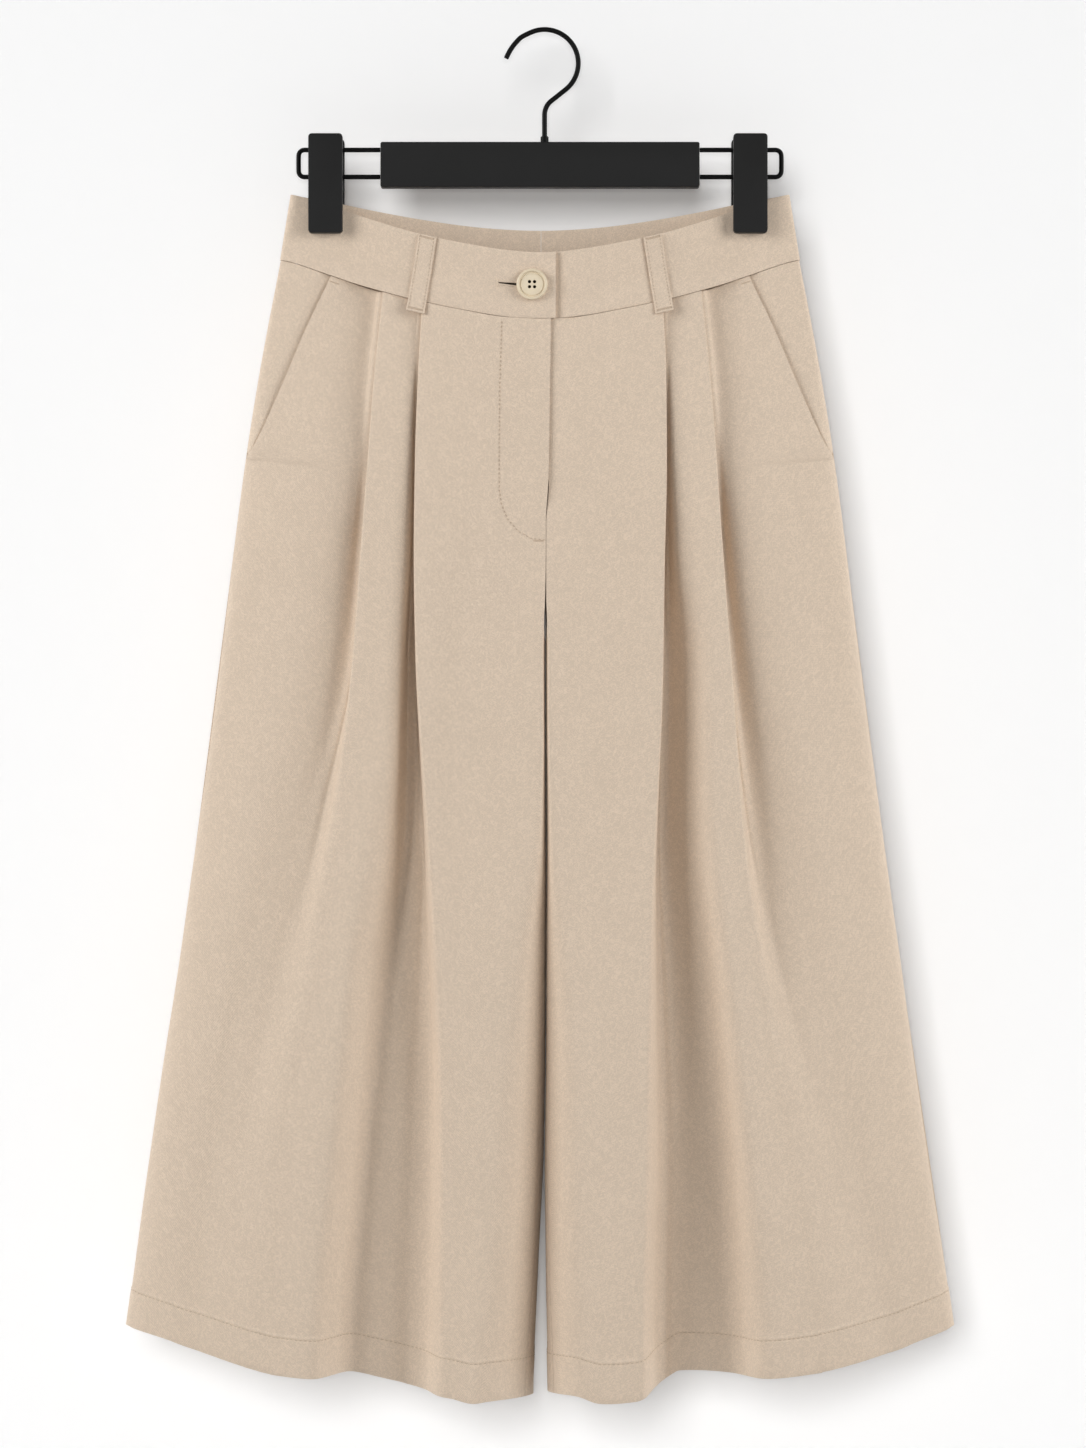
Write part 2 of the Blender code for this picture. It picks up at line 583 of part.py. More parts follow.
def add_sheet(name, points, half, wall, finish="cloth", hem_wall=None, hem_rows=0):
    """A cloth piece: a grid of points given its wall by Solidify, thicker along the hem."""
    rows, columns = points.shape[:2]
    index = np.arange(rows * columns).reshape(rows, columns)
    faces = np.stack([index[:-1, :-1], index[1:, :-1], index[1:, 1:], index[:-1, 1:]], axis=-1)
    mesh = bpy.data.meshes.new(name)
    mesh.from_pydata(world(points, half).reshape(-1, 3).tolist(), [], faces.reshape(-1, 4).tolist())
    mesh.shade_smooth()
    made = add_object(name, mesh, finish)
    thick = made.modifiers.new("wall", "SOLIDIFY")
    thick.offset = 0.0
    thick.thickness = wall
    if hem_wall:
        thick.thickness = hem_wall
        group = made.vertex_groups.new(name="full wall")
        group.add(index[-hem_rows:].ravel().tolist(), 1.0, "REPLACE")
        thick.vertex_group = group.name
        thick.thickness_vertex_group = wall / hem_wall
    return made


def add_front(half):
    """A front leg panel with its two pleats and the slanted pocket mouth."""
    rows = np.array(PANEL_ROWS, dtype=float)
    stations = front_stations(half, rows)
    ends = pocket_ends(stations, rows)
    points = part_edges(spline(stations, front_places(rows, ends)), seam=BAND_FRONT)
    return add_sheet(f"front_{half}", points, half, CLOTH_WALL, hem_wall=HEM_WALL, hem_rows=2)


def add_back(half):
    """A back leg panel, which runs on round the inner leg to the inseam."""
    rows = np.array(PANEL_ROWS, dtype=float)
    points = part_edges(spline(back_stations(half, rows), back_places(rows)), seam=BAND_BACK)
    return add_sheet(f"back_{half}", points, half, CLOTH_WALL, hem_wall=HEM_WALL, hem_rows=2)


def add_hip_panel(half):
    """The panel that shows behind the pocket mouth: the front's own surface, moved in.

    It reaches HIP_PANEL_TUCK in behind the mouth and comes out level with the side seam.
    """
    rows = np.array([r for r in PANEL_ROWS if r < 0.5], dtype=float)
    stations = front_stations(half, rows)
    mouth = pocket_ends(stations, rows)
    step = stations[:, FRONT_SIDE - 2] - stations[:, FRONT_SIDE - 1]
    tuck = HIP_PANEL_TUCK / np.linalg.norm(step, axis=-1)
    places = mouth - tuck
    places = places[:, None] + (FRONT_SIDE - places)[:, None] * np.linspace(0, 1, 9)
    points = spline(stations, places)
    past_mouth = (places - mouth[:, None]) * HIP_PANEL_TUCK / tuck[:, None]
    behind = 1.0 - ease(past_mouth / HIP_PANEL_RISE)
    behind[-3:] = np.array(HIP_PANEL_END)[:, None]
    offset = behind * HIP_PANEL_BEHIND * CLOTH_WALL / MM
    points = points + surface_normals(points) * offset[..., None]
    points = part_edges(points, first=False, seam=BAND_FRONT)
    return add_sheet(f"hip_panel_{half}", points, half, CLOTH_WALL)


def band_stations(band, shares):
    """Stations of a waistband at shares of its height, from past the centre round the side.

    Station 2 is the middle and 12 the side.  The upper part keeps the top edge's plan, which
    the clips pinch flat, and the lower part swells out to the waist seam.
    """
    shares = np.asarray(shares, dtype=float)[:, None]
    swell = ease((shares - BAND_SHARES[2]) / (1 - BAND_SHARES[2]))
    across = band["top_across"] + (band["low_across"] - band["top_across"]) * shares
    forward = band["top_forward"] + (band["low_forward"] - band["top_forward"]) * swell
    drop = band["top_drop"] + (band["low_drop"] - band["top_drop"]) * shares
    rows = station(across, forward, drop)
    return np.concatenate([rows[:, 2:0:-1] * (-1, 1, 1), rows, rows[:, -2:-1] * (1, -1, 1)], axis=1)


def add_band(half, face):
    """One quarter of the contoured waistband."""
    band = BAND_FRONT if face == "front" else BAND_BACK
    end = HALVES[half] * CENTRE["across"][0]
    if face == "front":
        end -= BAND_LAP if half == "right" else BAND_UNDERLAP
    stations = band_stations(band, BAND_SHARES)
    start = BAND_MIDDLE + end / band["top_across"][1]
    places = np.concatenate([(start, start + 0.04, 0.5 * (start + BAND_STATIONS[0])), BAND_STATIONS])
    points = spline(stations, np.tile(places, (len(BAND_SHARES), 1)))
    if half == "left" and face == "front":
        bare = CENTRE["across"][0] + BAND_LAP + 1.0
        covered = 1.0 - ease((points[..., 0] - bare) / BAND_RISE)
        points[..., 1] -= BAND_SET_BACK * covered
    points = part_edges(points, first=face == "back")
    return add_sheet(f"waistband_{face}_{half}", points, half, BAND_WALL)


def add_belt_loop(half, face):
    """A belt loop: the band's own surface moved out, from its top edge to below the waist seam."""
    band, outward = (BAND_FRONT, 1.0) if face == "front" else (BAND_BACK, -1.0)
    top, low = BELT_LOOP["top_across"], BELT_LOOP["low_across"]
    shares = np.array(BAND_SHARES + (BELT_LOOP["low_share"],))
    middle = top + (low - top) * shares / shares[-1]
    across = middle[:, None] + BELT_LOOP["width"] * np.linspace(-0.5, 0.5, 4)
    stations = band_stations(band, np.minimum(shares, 1.0))
    places = [np.interp(row, line, np.arange(len(line)))
              for row, line in zip(across, stations[:, :-1, 0])]
    points = spline(stations, np.array(places))
    below = np.maximum(shares - 1.0, 0.0)[:, None]
    points[..., 2] += below * (band["low_drop"] - band["top_drop"])[LOOP_LINE]
    lift = BELT_LOOP["gap"] + below / below.max() * BELT_LOOP["low_lift"]
    points[..., 1] += outward * (0.5 * (BAND_WALL + LOOP_WALL) / MM + lift)
    return add_sheet(f"belt_loop_{face}_{half}", points, half, LOOP_WALL)


def turned(made, steps):
    """Turn an object's profile round its own Z axis."""
    screw = made.modifiers.new("turned", "SCREW")
    screw.axis = "Z"
    screw.steps = screw.render_steps = steps
    screw.use_merge_vertices = True
    screw.merge_threshold = 0.00001


def add_button():
    """A four-hole button: a turned disc with a raised rim, its holes bored through."""
    radius, height = BUTTON_PROFILE["radius"], BUTTON_PROFILE["height"]
    profile = [(r * BUTTON_RADIUS, 0.0, h * BUTTON_THICKNESS) for r, h in zip(radius, height)]
    mesh = bpy.data.meshes.new("button")
    mesh.from_pydata(profile, [(i, i + 1) for i in range(len(profile) - 1)], [])
    button = add_object("button", mesh, "button")
    turned(button, 32)
    bores = bpy.data.meshes.new("button bores")
    shape = bmesh.new()
    for x, y in ((1, 1), (1, -1), (-1, 1), (-1, -1)):
        place = bmesh.ops.create_cone(shape, cap_ends=True, segments=12, depth=4 * BUTTON_THICKNESS,
                                      radius1=BUTTON_HOLE_RADIUS, radius2=BUTTON_HOLE_RADIUS)
        bmesh.ops.translate(shape, verts=place["verts"],
                            vec=(x * BUTTON_HOLE_SPREAD, y * BUTTON_HOLE_SPREAD, 0.0))
    shape.to_mesh(bores)
    shape.free()
    cutter = bpy.data.objects.new("button bores", bores)
    cutter.hide_render = True
    cutter.display_type = "WIRE"
    cutters.objects.link(cutter)
    cutter.parent = button
    bored = button.modifiers.new("bores", "BOOLEAN")
    bored.object = cutter
    forward = (BAND_FRONT["low_forward"][0] - 0.2) * MM + 0.5 * BAND_WALL + SEAM_GAP
    button.location = (MIDDLE_X - BUTTON_ACROSS * MM, -forward, -BUTTON_DROP * MM)
    button.rotation_euler = (math.radians(90), 0, 0)


# ---------------------------------------------------------------- the hanger
def add_wire(name, points, radius, finish="wire", sides=2):
    """A round wire along points, with filled ends."""
    curve = bpy.data.curves.new(name, "CURVE")
    curve.dimensions = "3D"
    curve.bevel_depth = radius
    curve.bevel_resolution = sides
    curve.use_fill_caps = True
    path = curve.splines.new("POLY")
    path.points.add(len(points) - 1)
    for point, place in zip(path.points, points):
        point.co = (*place, 1.0)
    made = bpy.data.objects.new(name, curve)
    collection.objects.link(made)
    curve.materials.append(material(name, *FINISHES[finish]))
    return made


def add_hook():
    """The hook: a stem, a soft bend, a round arc over the rail and a short straight tip."""
    turn = np.radians(np.arange(*HOOK_ARC, 10.0))
    arc = np.stack([np.cos(turn), np.sin(turn)], axis=1) * HOOK_RADIUS
    arc[:, 1] += HOOK_WIRE - HOOK_RADIUS
    below, tip = (np.stack([HOOK_STEM_X + part["across"] * MM, -part["drop"] * MM], axis=1)
                  for part in (HOOK_BEND, HOOK_TIP))
    points = [(x, 0.0, z) for x, z in np.concatenate([below, arc, tip])]
    add_wire("hanger_hook", points, HOOK_WIRE, sides=3)


def add_collar():
    """The turned collar round the foot of the hook, standing on the bar."""
    inner, outer = HOOK_WIRE + SEAM_GAP, COLLAR_RADIUS
    low = -BAR_TOP_DROP + SEAM_GAP
    profile = ((outer, low + COLLAR_HEIGHT), (outer, low), (inner, low), (inner, low + COLLAR_HEIGHT))
    mesh = bpy.data.meshes.new("hanger_collar")
    edges = [(i, (i + 1) % 4) for i in range(4)]
    mesh.from_pydata([(r, 0.0, z) for r, z in profile], edges, [])
    collar = add_object("hanger_collar", mesh, "wire")
    collar.location = (HOOK_STEM_X, 0.0, 0.0)
    turned(collar, 16)


def add_bar():
    """The flat bar that the hook and the wire loops are set into."""
    mesh = bpy.data.meshes.new("hanger_bar")
    shape = bmesh.new()
    bmesh.ops.create_cube(shape, size=1.0)
    bmesh.ops.scale(shape, verts=shape.verts, vec=(BAR_LENGTH, BAR_DEPTH, BAR_HEIGHT))
    shape.to_mesh(mesh)
    shape.free()
    bar = add_object("hanger_bar", mesh, "bar")
    bar.location = (MIDDLE_X, 0.0, -BAR_TOP_DROP - 0.5 * BAR_HEIGHT)
    edges = bar.modifiers.new("edges", "BEVEL")
    edges.width = BAR_EDGE
    edges.segments = 2


def add_wire_loop(half):
    """A wire loop out of one end of the bar: out, round two bends and back."""
    start, end, bend = 0.5 * BAR_LENGTH + SEAM_GAP, LOOP_END_ACROSS, LOOP_BEND
    outline = [(start, -LOOP_TOP_DROP)]
    for corner_z, turn in ((-LOOP_TOP_DROP - bend, 90.0), (-LOOP_LOW_DROP + bend, 0.0)):
        for step in range(5):
            angle = math.radians(turn - 22.5 * step)
            outline.append((end - bend + bend * math.cos(angle), corner_z + bend * math.sin(angle)))
    outline.append((start, -LOOP_LOW_DROP))
    side = HALVES[half]
    add_wire(f"hanger_loop_{half}", [(MIDDLE_X + side * x, 0.0, z) for x, z in outline], LOOP_WIRE)


def add_jaw(half, face):
    """One jaw of a clip: it hugs the wire loop above and the waistband below."""
    sign = -1.0 if face == "front" else 1.0
    trim = 0.0 if face == "front" else BACK_JAW_SHORTER
    wire_side = LOOP_WIRE + SEAM_GAP
    cloth_side = BAND_FRONT["top_forward"][CLIP_LINE] * MM + 0.5 * BAND_WALL + SEAM_GAP
    top, low = -JAW_TOP_DROP - trim, -JAW_LOW_DROP + trim
    outline = ((wire_side, top), (JAW_FACE, top), (JAW_FACE, low), (cloth_side, low),
               (cloth_side, -JAW_STEP_DROP), (wire_side, -JAW_STEP_DROP))
    mesh = bpy.data.meshes.new("jaw")
    shape = bmesh.new()
    corners = [shape.verts.new((-0.5 * JAW_WIDTH, sign * y, z)) for y, z in outline]
    face_made = shape.faces.new(corners)
    swept = bmesh.ops.extrude_face_region(shape, geom=[face_made])
    moved = [item for item in swept["geom"] if isinstance(item, bmesh.types.BMVert)]
    bmesh.ops.translate(shape, verts=moved, vec=(JAW_WIDTH, 0.0, 0.0))
    bmesh.ops.recalc_face_normals(shape, faces=shape.faces)
    shape.to_mesh(mesh)
    shape.free()
    jaw = add_object(f"clip_{face}_{half}", mesh, "clip")
    inward = 0.0 if face == "front" else BACK_JAW_INWARD
    jaw.location = (MIDDLE_X + HALVES[half] * (CLIP_MIDDLE[half] - inward), 0.0, 0.0)
    edges = jaw.modifiers.new("edges", "BEVEL")
    edges.width = JAW_EDGE
    edges.segments = 2


# ---------------------------------------------------------------- build
FINISHES = {                # colour, roughness, metallic
    "cloth": ((0.62, 0.50, 0.39), 0.85, 0.0),
    "button": ((0.72, 0.60, 0.42), 0.35, 0.0),
    "bar": ((0.021, 0.021, 0.021), 0.55, 0.0),
    "clip": ((0.022, 0.022, 0.022), 0.50, 0.0),
    "wire": ((0.012, 0.012, 0.012), 0.40, 0.8),
}

for old in list(bpy.data.objects):
    bpy.data.objects.remove(old, do_unlink=True)
collection = bpy.data.collections.new("pleated wide-leg shorts on a clip hanger")
cutters = bpy.data.collections.new("cutters")
for made_collection in (collection, cutters):
    bpy.context.scene.collection.children.link(made_collection)

for half_name in HALVES:
    add_front(half_name)
    add_back(half_name)
    add_hip_panel(half_name)
    for face_name in ("front", "back"):
        add_band(half_name, face_name)
        add_belt_loop(half_name, face_name)
        add_jaw(half_name, face_name)
    add_wire_loop(half_name)
add_button()
add_bar()
add_hook()
add_collar()
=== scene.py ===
import math

import bmesh
import bpy
import numpy as np
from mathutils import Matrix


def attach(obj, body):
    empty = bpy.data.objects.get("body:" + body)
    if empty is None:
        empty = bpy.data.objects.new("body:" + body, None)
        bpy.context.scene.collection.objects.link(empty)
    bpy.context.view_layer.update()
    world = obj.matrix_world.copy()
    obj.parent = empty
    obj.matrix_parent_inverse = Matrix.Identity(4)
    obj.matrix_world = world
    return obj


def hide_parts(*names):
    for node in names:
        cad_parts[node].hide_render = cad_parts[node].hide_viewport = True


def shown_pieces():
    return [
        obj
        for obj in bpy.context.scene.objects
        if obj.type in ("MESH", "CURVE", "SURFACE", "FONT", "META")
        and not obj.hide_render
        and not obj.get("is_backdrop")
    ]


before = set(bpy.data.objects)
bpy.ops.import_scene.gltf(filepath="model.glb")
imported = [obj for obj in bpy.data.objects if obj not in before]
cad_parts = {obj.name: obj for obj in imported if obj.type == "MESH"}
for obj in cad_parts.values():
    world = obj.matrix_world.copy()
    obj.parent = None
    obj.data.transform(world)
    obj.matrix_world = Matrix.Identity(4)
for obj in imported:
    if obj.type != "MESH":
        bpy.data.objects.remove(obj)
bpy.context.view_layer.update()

# Wide-leg pleated shorts (culottes) hung by the waistband on a black clip hanger.  The tables are
# in millimetres: "across" runs outward from the middle of the cloth, "forward" to the front and
# "drop" down from the hook's inner top.  The wearer's right half is at -X and the front at -Y.


# ================================================================ front leg panels
# Two panels of smooth beige twill, each with two pleats pressed towards the side, a slanted
# pocket mouth and a turned-up hem.  They are sewn to the waistband, to each other below the
# fly, and to the back panels at the side and the inner leg.
MIDDLE_X = -2.1
HALVES = {"right": -1.0, "left": 1.0}
CLOTH_WALL, HEM_WALL, SEAM_GAP, WAIST_GAP = 1.05, 1.9, 0.25, 0.35
CROTCH_DROP = 440.0
LEG_EDGE_RADIUS = 3.0
PLEAT_FOLD, PLEAT_LAYER = 16.0, 2.4


def table(columns, *rows):
    """A table as a dictionary of named columns."""
    return dict(zip(columns.split(), np.array(rows, dtype=float).T))


OUTLINE = table(
    "drop  half_width  side_radius",
    (160, 181.0, 3.0),
    (240, 196.0, 6.5),
    (300, 205.5, 9.0),
    (412, 220.0, 10.0),
    (580, 242.0, 10.0),
    (905, 289.0, 9.0))
CENTRE = table(
    "drop  across  across_back  half_gap  front  back",
    (183, 4.4, 0.7, 0.7, 28.5, 22.0),
    (203, 4.4, 0.8, 0.7, 28.5, 22.0),
    (272, 4.2, 1.5, 0.7, 31.0, 27.0),
    (356, 4.4, 2.8, 0.7, 33.5, 31.0),
    (440, 3.8, 3.8, 0.7, 35.5, 33.0),
    (600, 4.4, 4.4, 0.7, 38.0, 35.0),
    (700, 4.1, 4.1, 0.8, 39.5, 36.0),
    (775, 3.2, 3.2, 0.9, 41.0, 37.0),
    (860, 1.6, 1.6, 3.1, 44.0, 39.0),
    (944, 0.4, 0.4, 5.8, 46.0, 40.0))
FLY = table(
    "row   lap   under  set_back",
    (0.00, 3.3, 2.0, 2.0),
    (0.40, 2.2, 2.0, 2.0),
    (0.49, 1.4, -1.7, 2.0),
    (0.60, -0.15, 0.15, 0.0),
    (1.00, -0.15, 0.15, 0.0))
ACROSS = {
    "right": table(
        "drop  crest  pleat  floor  ridge  pleat_2  floor_2  outer",
        (185, 42, 81.0, 83, 98, 109.0, 111, 140),
        (240, 44, 84.0, 85.6, 104, 114.5, 116.5, 152),
        (300, 45, 86.0, 87.5, 108, 119.0, 121, 162),
        (356, 45, 86.5, 88.5, 114, 123.0, 126, 170),
        (440, 43, 84.5, 92, 115, 129.0, 134, 180),
        (550, 41, 77.0, 93, 119, 140.0, 164, 200),
        (660, 40, 70.0, 105, 134, 156.0, 192, 222),
        (770, 43, 66.0, 119, 145, 178.0, 212, 240),
        (880, 46, 64.0, 129, 156, 186.0, 222, 255),
        (950, 47, 64.0, 132, 159, 188.0, 226, 258)),
    "left": table(
        "drop  crest  pleat  floor  ridge  pleat_2  floor_2  outer",
        (185, 44, 84.5, 86.5, 101, 112.0, 114, 143),
        (240, 45, 87.0, 88.6, 107, 117.5, 119.5, 153),
        (300, 45, 87.3, 88.8, 112, 122.0, 124, 163),
        (356, 45, 86.5, 89.0, 117, 125.5, 128.5, 172),
        (440, 45, 85.0, 89.5, 118, 131.5, 136, 182),
        (550, 44, 79.5, 88, 121, 139.0, 150, 198),
        (660, 43, 74.5, 94, 133, 153.0, 174, 215),
        (770, 42, 72.0, 98, 144, 172.0, 200, 234),
        (880, 41, 70.0, 97, 155, 190.0, 222, 254),
        (950, 40, 69.0, 97, 160, 198.0, 232, 262)),
}
FORWARD = {
    "right": table(
        "drop  crest  pleat  floor  ridge  pleat_2  floor_2  outer",
        (185, 27.5, 24.5, 19.7, 19.5, 18.0, 13.0, 7.5),
        (240, 31.0, 29.5, 24.5, 25.5, 24.5, 19.5, 14.0),
        (300, 33.0, 34.0, 22.5, 29.5, 29.0, 19.0, 19.0),
        (356, 34.5, 37.0, 17.0, 32.0, 32.5, 17.0, 21.0),
        (440, 35.5, 39.0, 12.0, 34.0, 34.0, 19.0, 22.0),
        (550, 37.0, 40.0, 13.0, 36.5, 35.5, 22.0, 23.0),
        (660, 39.5, 40.5, 15.0, 39.5, 37.5, 23.0, 21.0),
        (770, 43.0, 41.5, 17.0, 42.0, 39.0, 28.0, 22.0),
        (880, 47.0, 44.0, 17.5, 44.5, 41.5, 31.0, 20.0),
        (950, 50.0, 46.0, 19.0, 46.0, 42.0, 31.0, 19.0)),
    "left": table(
        "drop  crest  pleat  floor  ridge  pleat_2  floor_2  outer",
        (185, 27.5, 24.5, 19.7, 19.5, 18.0, 13.0, 7.5),
        (240, 31.0, 29.5, 24.5, 25.5, 24.5, 19.5, 14.0),
        (300, 33.5, 34.0, 21.5, 29.5, 29.0, 18.0, 19.0),
        (356, 35.0, 37.5, 14.0, 33.0, 32.5, 14.0, 21.0),
        (440, 36.5, 39.5, 13.0, 35.5, 34.5, 15.0, 22.0),
        (550, 38.0, 40.5, 11.0, 38.5, 36.5, 19.0, 23.0),
        (660, 40.0, 42.0, 12.0, 41.0, 38.5, 25.0, 23.0),
        (770, 43.0, 44.0, 14.0, 42.5, 39.5, 29.0, 22.0),
        (880, 47.0, 46.0, 14.5, 44.5, 42.0, 31.0, 19.0),
        (950, 50.0, 47.0, 16.0, 46.0, 42.0, 30.0, 17.0)),
}
HEM = {
    "right": table(
        "centre  crest  pleat  floor  ridge  pleat_2  floor_2  outer  side",
        (951.5, 952.5, 949.5, 934.0, 936.5, 933.0, 923.0, 914.0, 904.5)),
    "left": table(
        "centre  crest  pleat  floor  ridge  pleat_2  floor_2  outer  side",
        (948.0, 952.5, 951.0, 934.0, 936.5, 931.5, 924.5, 917.0, 905.0)),
}
PRESSED = table(
    "drop  share",
    (240, 1.00),
    (271, 0.93),
    (300, 0.80),
    (327, 0.62),
    (356, 0.45),
    (383, 0.33),
    (440, 0.18),
    (600, 0.10),
    (800, 0.00))
# how far towards its floor an open pleat's steep wall runs, and where the valley's far rim lies:
# how far along and how far up from the floor to the next ridge
VALLEY = {
    "right": table(
        "drop  wall  along  up  wall_2  along_2  up_2",
        (240, 0.60, 0.12, 0.85, 0.60, 0.10, 0.80),
        (356, 0.60, 0.14, 0.85, 0.60, 0.16, 0.70),
        (500, 0.60, 0.36, 0.84, 0.60, 0.34, 0.60),
        (560, 0.50, 0.50, 0.76, 0.70, 0.38, 0.55),
        (675, 0.30, 0.56, 0.60, 0.95, 0.40, 0.50),
        (950, 0.34, 0.50, 0.50, 1.25, 0.40, 0.50)),
    "left": table(
        "drop  wall  along  up  wall_2  along_2  up_2",
        (240, 0.60, 0.12, 0.85, 0.60, 0.10, 0.80),
        (356, 0.60, 0.18, 0.72, 0.60, 0.14, 0.85),
        (440, 0.60, 0.45, 0.50, 0.60, 0.22, 0.75),
        (560, 0.60, 0.50, 0.45, 0.70, 0.38, 0.55),
        (675, 0.55, 0.56, 0.30, 0.95, 0.40, 0.50),
        (812, 0.55, 0.60, 0.14, 1.20, 0.40, 0.50),
        (950, 0.55, 0.60, 0.14, 1.25, 0.40, 0.50)),
}
# width of the soft roll at the front of the inner leg
ROLL = table(
    "drop  right  left",
    (500, 3.0, 3.0),
    (580, 9.0, 7.0),
    (640, 17.0, 12.0),
    (740, 25.0, 18.0),
    (812, 28.0, 20.0),
    (944, 31.0, 21.0))
# the waistband's edges in front, which the panels' top edges follow
BAND_FRONT = table(
    "top_across  top_forward  top_drop  low_across  low_forward  low_drop",
    (0.0, 28.0, 157.3, 0.0, 28.5, 203.0),
    (25.0, 27.2, 155.4, 25.0, 28.2, 201.7),
    (52.0, 24.0, 150.6, 53.0, 26.9, 197.0),
    (84.0, 17.3, 143.2, 87.0, 23.4, 189.6),
    (110.0, 9.5, 134.8, 114.0, 16.4, 182.0),
    (124.0, 4.2, 129.8, 129.0, 11.6, 177.2),
    (133.0, 2.4, 126.3, 138.0, 8.8, 174.0),
    (150.0, 2.4, 120.5, 154.5, 6.4, 168.2),
    (166.0, 2.4, 116.0, 172.5, 4.6, 162.0),
    (172.2, 1.9, 114.5, 179.4, 2.6, 160.3),
    (173.6, 0.0, 114.2, 181.0, 0.0, 160.0))
POCKET_MOUTH = table(
    "drop  across",
    (170, 145.5),
    (211, 164.5),
    (248, 180.0),
    (287, 198.0),
    (298, 205.0))
# where each row's centre seam or inseam lies among the seven stations round the inner leg
SEAM_PLACE = table(
    "row   front  back",
    (0.86, 5.0, 1.0),
    (0.90, 4.7, 1.3),
    (0.95, 3.7, 2.3),
    (1.00, 3.0, 3.0),
    (1.20, 3.1, 3.1),
    (1.60, 3.9, 3.9),
    (2.00, 4.6, 4.6))
CREST, FLOOR_2, FRONT_SIDE = 7, 23, 27
# soft creases of the front: from one point to another, how wide, and how far in (-) or out
FRONT_CREASES = {
    "right": table(
        "across  drop  across_2  drop_2  width  height",
        (41, 330, 40, 660, 9, -1.1),
        (20, 500, 16, 900, 16, 1.3),
        (60, 300, 52, 520, 14, 0.8),
        (64, 640, 30, 930, 15, -1.6),
        (112, 640, 140, 900, 16, 1.2),
        (176, 330, 214, 620, 20, -1.4),
        (150, 250, 178, 420, 13, 1.0),
        (230, 640, 262, 900, 22, 1.1),
        (205, 700, 232, 930, 24, -0.9),
        (30, 215, 24, 300, 9, -0.5)),
    "left": table(
        "across  drop  across_2  drop_2  width  height",
        (24, 420, 20, 760, 14, -0.8),
        (58, 560, 48, 930, 16, 1.2),
        (72, 300, 66, 520, 13, -0.8),
        (120, 520, 146, 830, 15, -1.5),
        (178, 350, 205, 560, 19, -1.2),
        (158, 250, 188, 430, 14, 1.1),
        (160, 640, 186, 930, 22, 1.2),
        (236, 640, 256, 900, 24, -1.0),
        (212, 620, 240, 890, 20, 0.9)),
}


def smooth(at, x, y):
    """Monotone cubic curve through the points (x, y), level beyond both ends.

    The slope at an inner point is the harmonic mean of its neighbours', or 0 at a turn.
    """
    at = np.clip(at, x[0], x[-1])
    run = np.diff(x)
    slope = np.diff(y) / run
    product = slope[:-1] * slope[1:]
    total = np.where(product > 0, slope[:-1] + slope[1:], 1.0)
    inner = np.where(product > 0, 2.0 * product / total, 0.0)
    tangent = np.concatenate([slope[:1], inner, slope[-1:]])
    i = np.clip(np.searchsorted(x, at, side="right") - 1, 0, len(x) - 2)
    t = (at - x[i]) / run[i]
    return (y[i] * (1 + 2 * t) * (1 - t) ** 2 + y[i + 1] * t * t * (3 - 2 * t)
            + run[i] * (tangent[i] * t * (1 - t) ** 2 - tangent[i + 1] * t * t * (1 - t)))


def curve(values, key, at):
    """A table's column as a smooth curve over the table's first column."""
    return smooth(at, next(iter(values.values())), values[key])


def ease(t):
    """0 to 1 with level ends: 3 t squared less 2 t cubed."""
    t = np.clip(t, 0.0, 1.0)
    return t * t * (3.0 - 2.0 * t)


def spline(points, where):
    """Centripetal Catmull-Rom curve through points[row, station], read at where[row, column]."""
    first = np.clip(np.floor(where).astype(int), 1, points.shape[1] - 3)
    row = np.arange(len(points))[:, None]
    p0, p1, p2, p3 = (points[row, first + shift] for shift in (-1, 0, 1, 2))
    knot = [np.zeros(where.shape + (1,))]
    for a, b in ((p0, p1), (p1, p2), (p2, p3)):
        length = np.linalg.norm(b - a, axis=-1, keepdims=True)
        knot.append(knot[-1] + np.sqrt(np.maximum(length, 1e-6)))
    k0, k1, k2, k3 = knot
    t = k1 + (where - first)[..., None] * (k2 - k1)
    a1 = ((k1 - t) * p0 + (t - k0) * p1) / (k1 - k0)
    a2 = ((k2 - t) * p1 + (t - k1) * p2) / (k2 - k1)
    a3 = ((k3 - t) * p2 + (t - k2) * p3) / (k3 - k2)
    b1 = ((k2 - t) * a1 + (t - k0) * a2) / (k2 - k0)
    b2 = ((k3 - t) * a2 + (t - k1) * a3) / (k3 - k1)
    return ((k2 - t) * b1 + (t - k1) * b2) / (k2 - k1)


def station(across, forward, drop):
    """One station of every row, as points (across, forward, drop)."""
    across, forward, drop = np.broadcast_arrays(across, forward, drop)
    return np.stack([across, forward, drop], axis=-1).astype(float)


def drop_at(rows, top, hem):
    """Drop of a station at each row: 0 is the waist seam, 1 the crotch level and 2 the hem."""
    upper, lower = np.clip(rows, 0, 1), np.clip(rows - 1, 0, 1)
    return top + (CROTCH_DROP - top) * upper + (hem - CROTCH_DROP) * lower


def seam_drop(band, across):
    """Drop of the waist seam, which the band's lower edge follows."""
    return smooth(np.abs(across), band["low_across"], band["low_drop"])


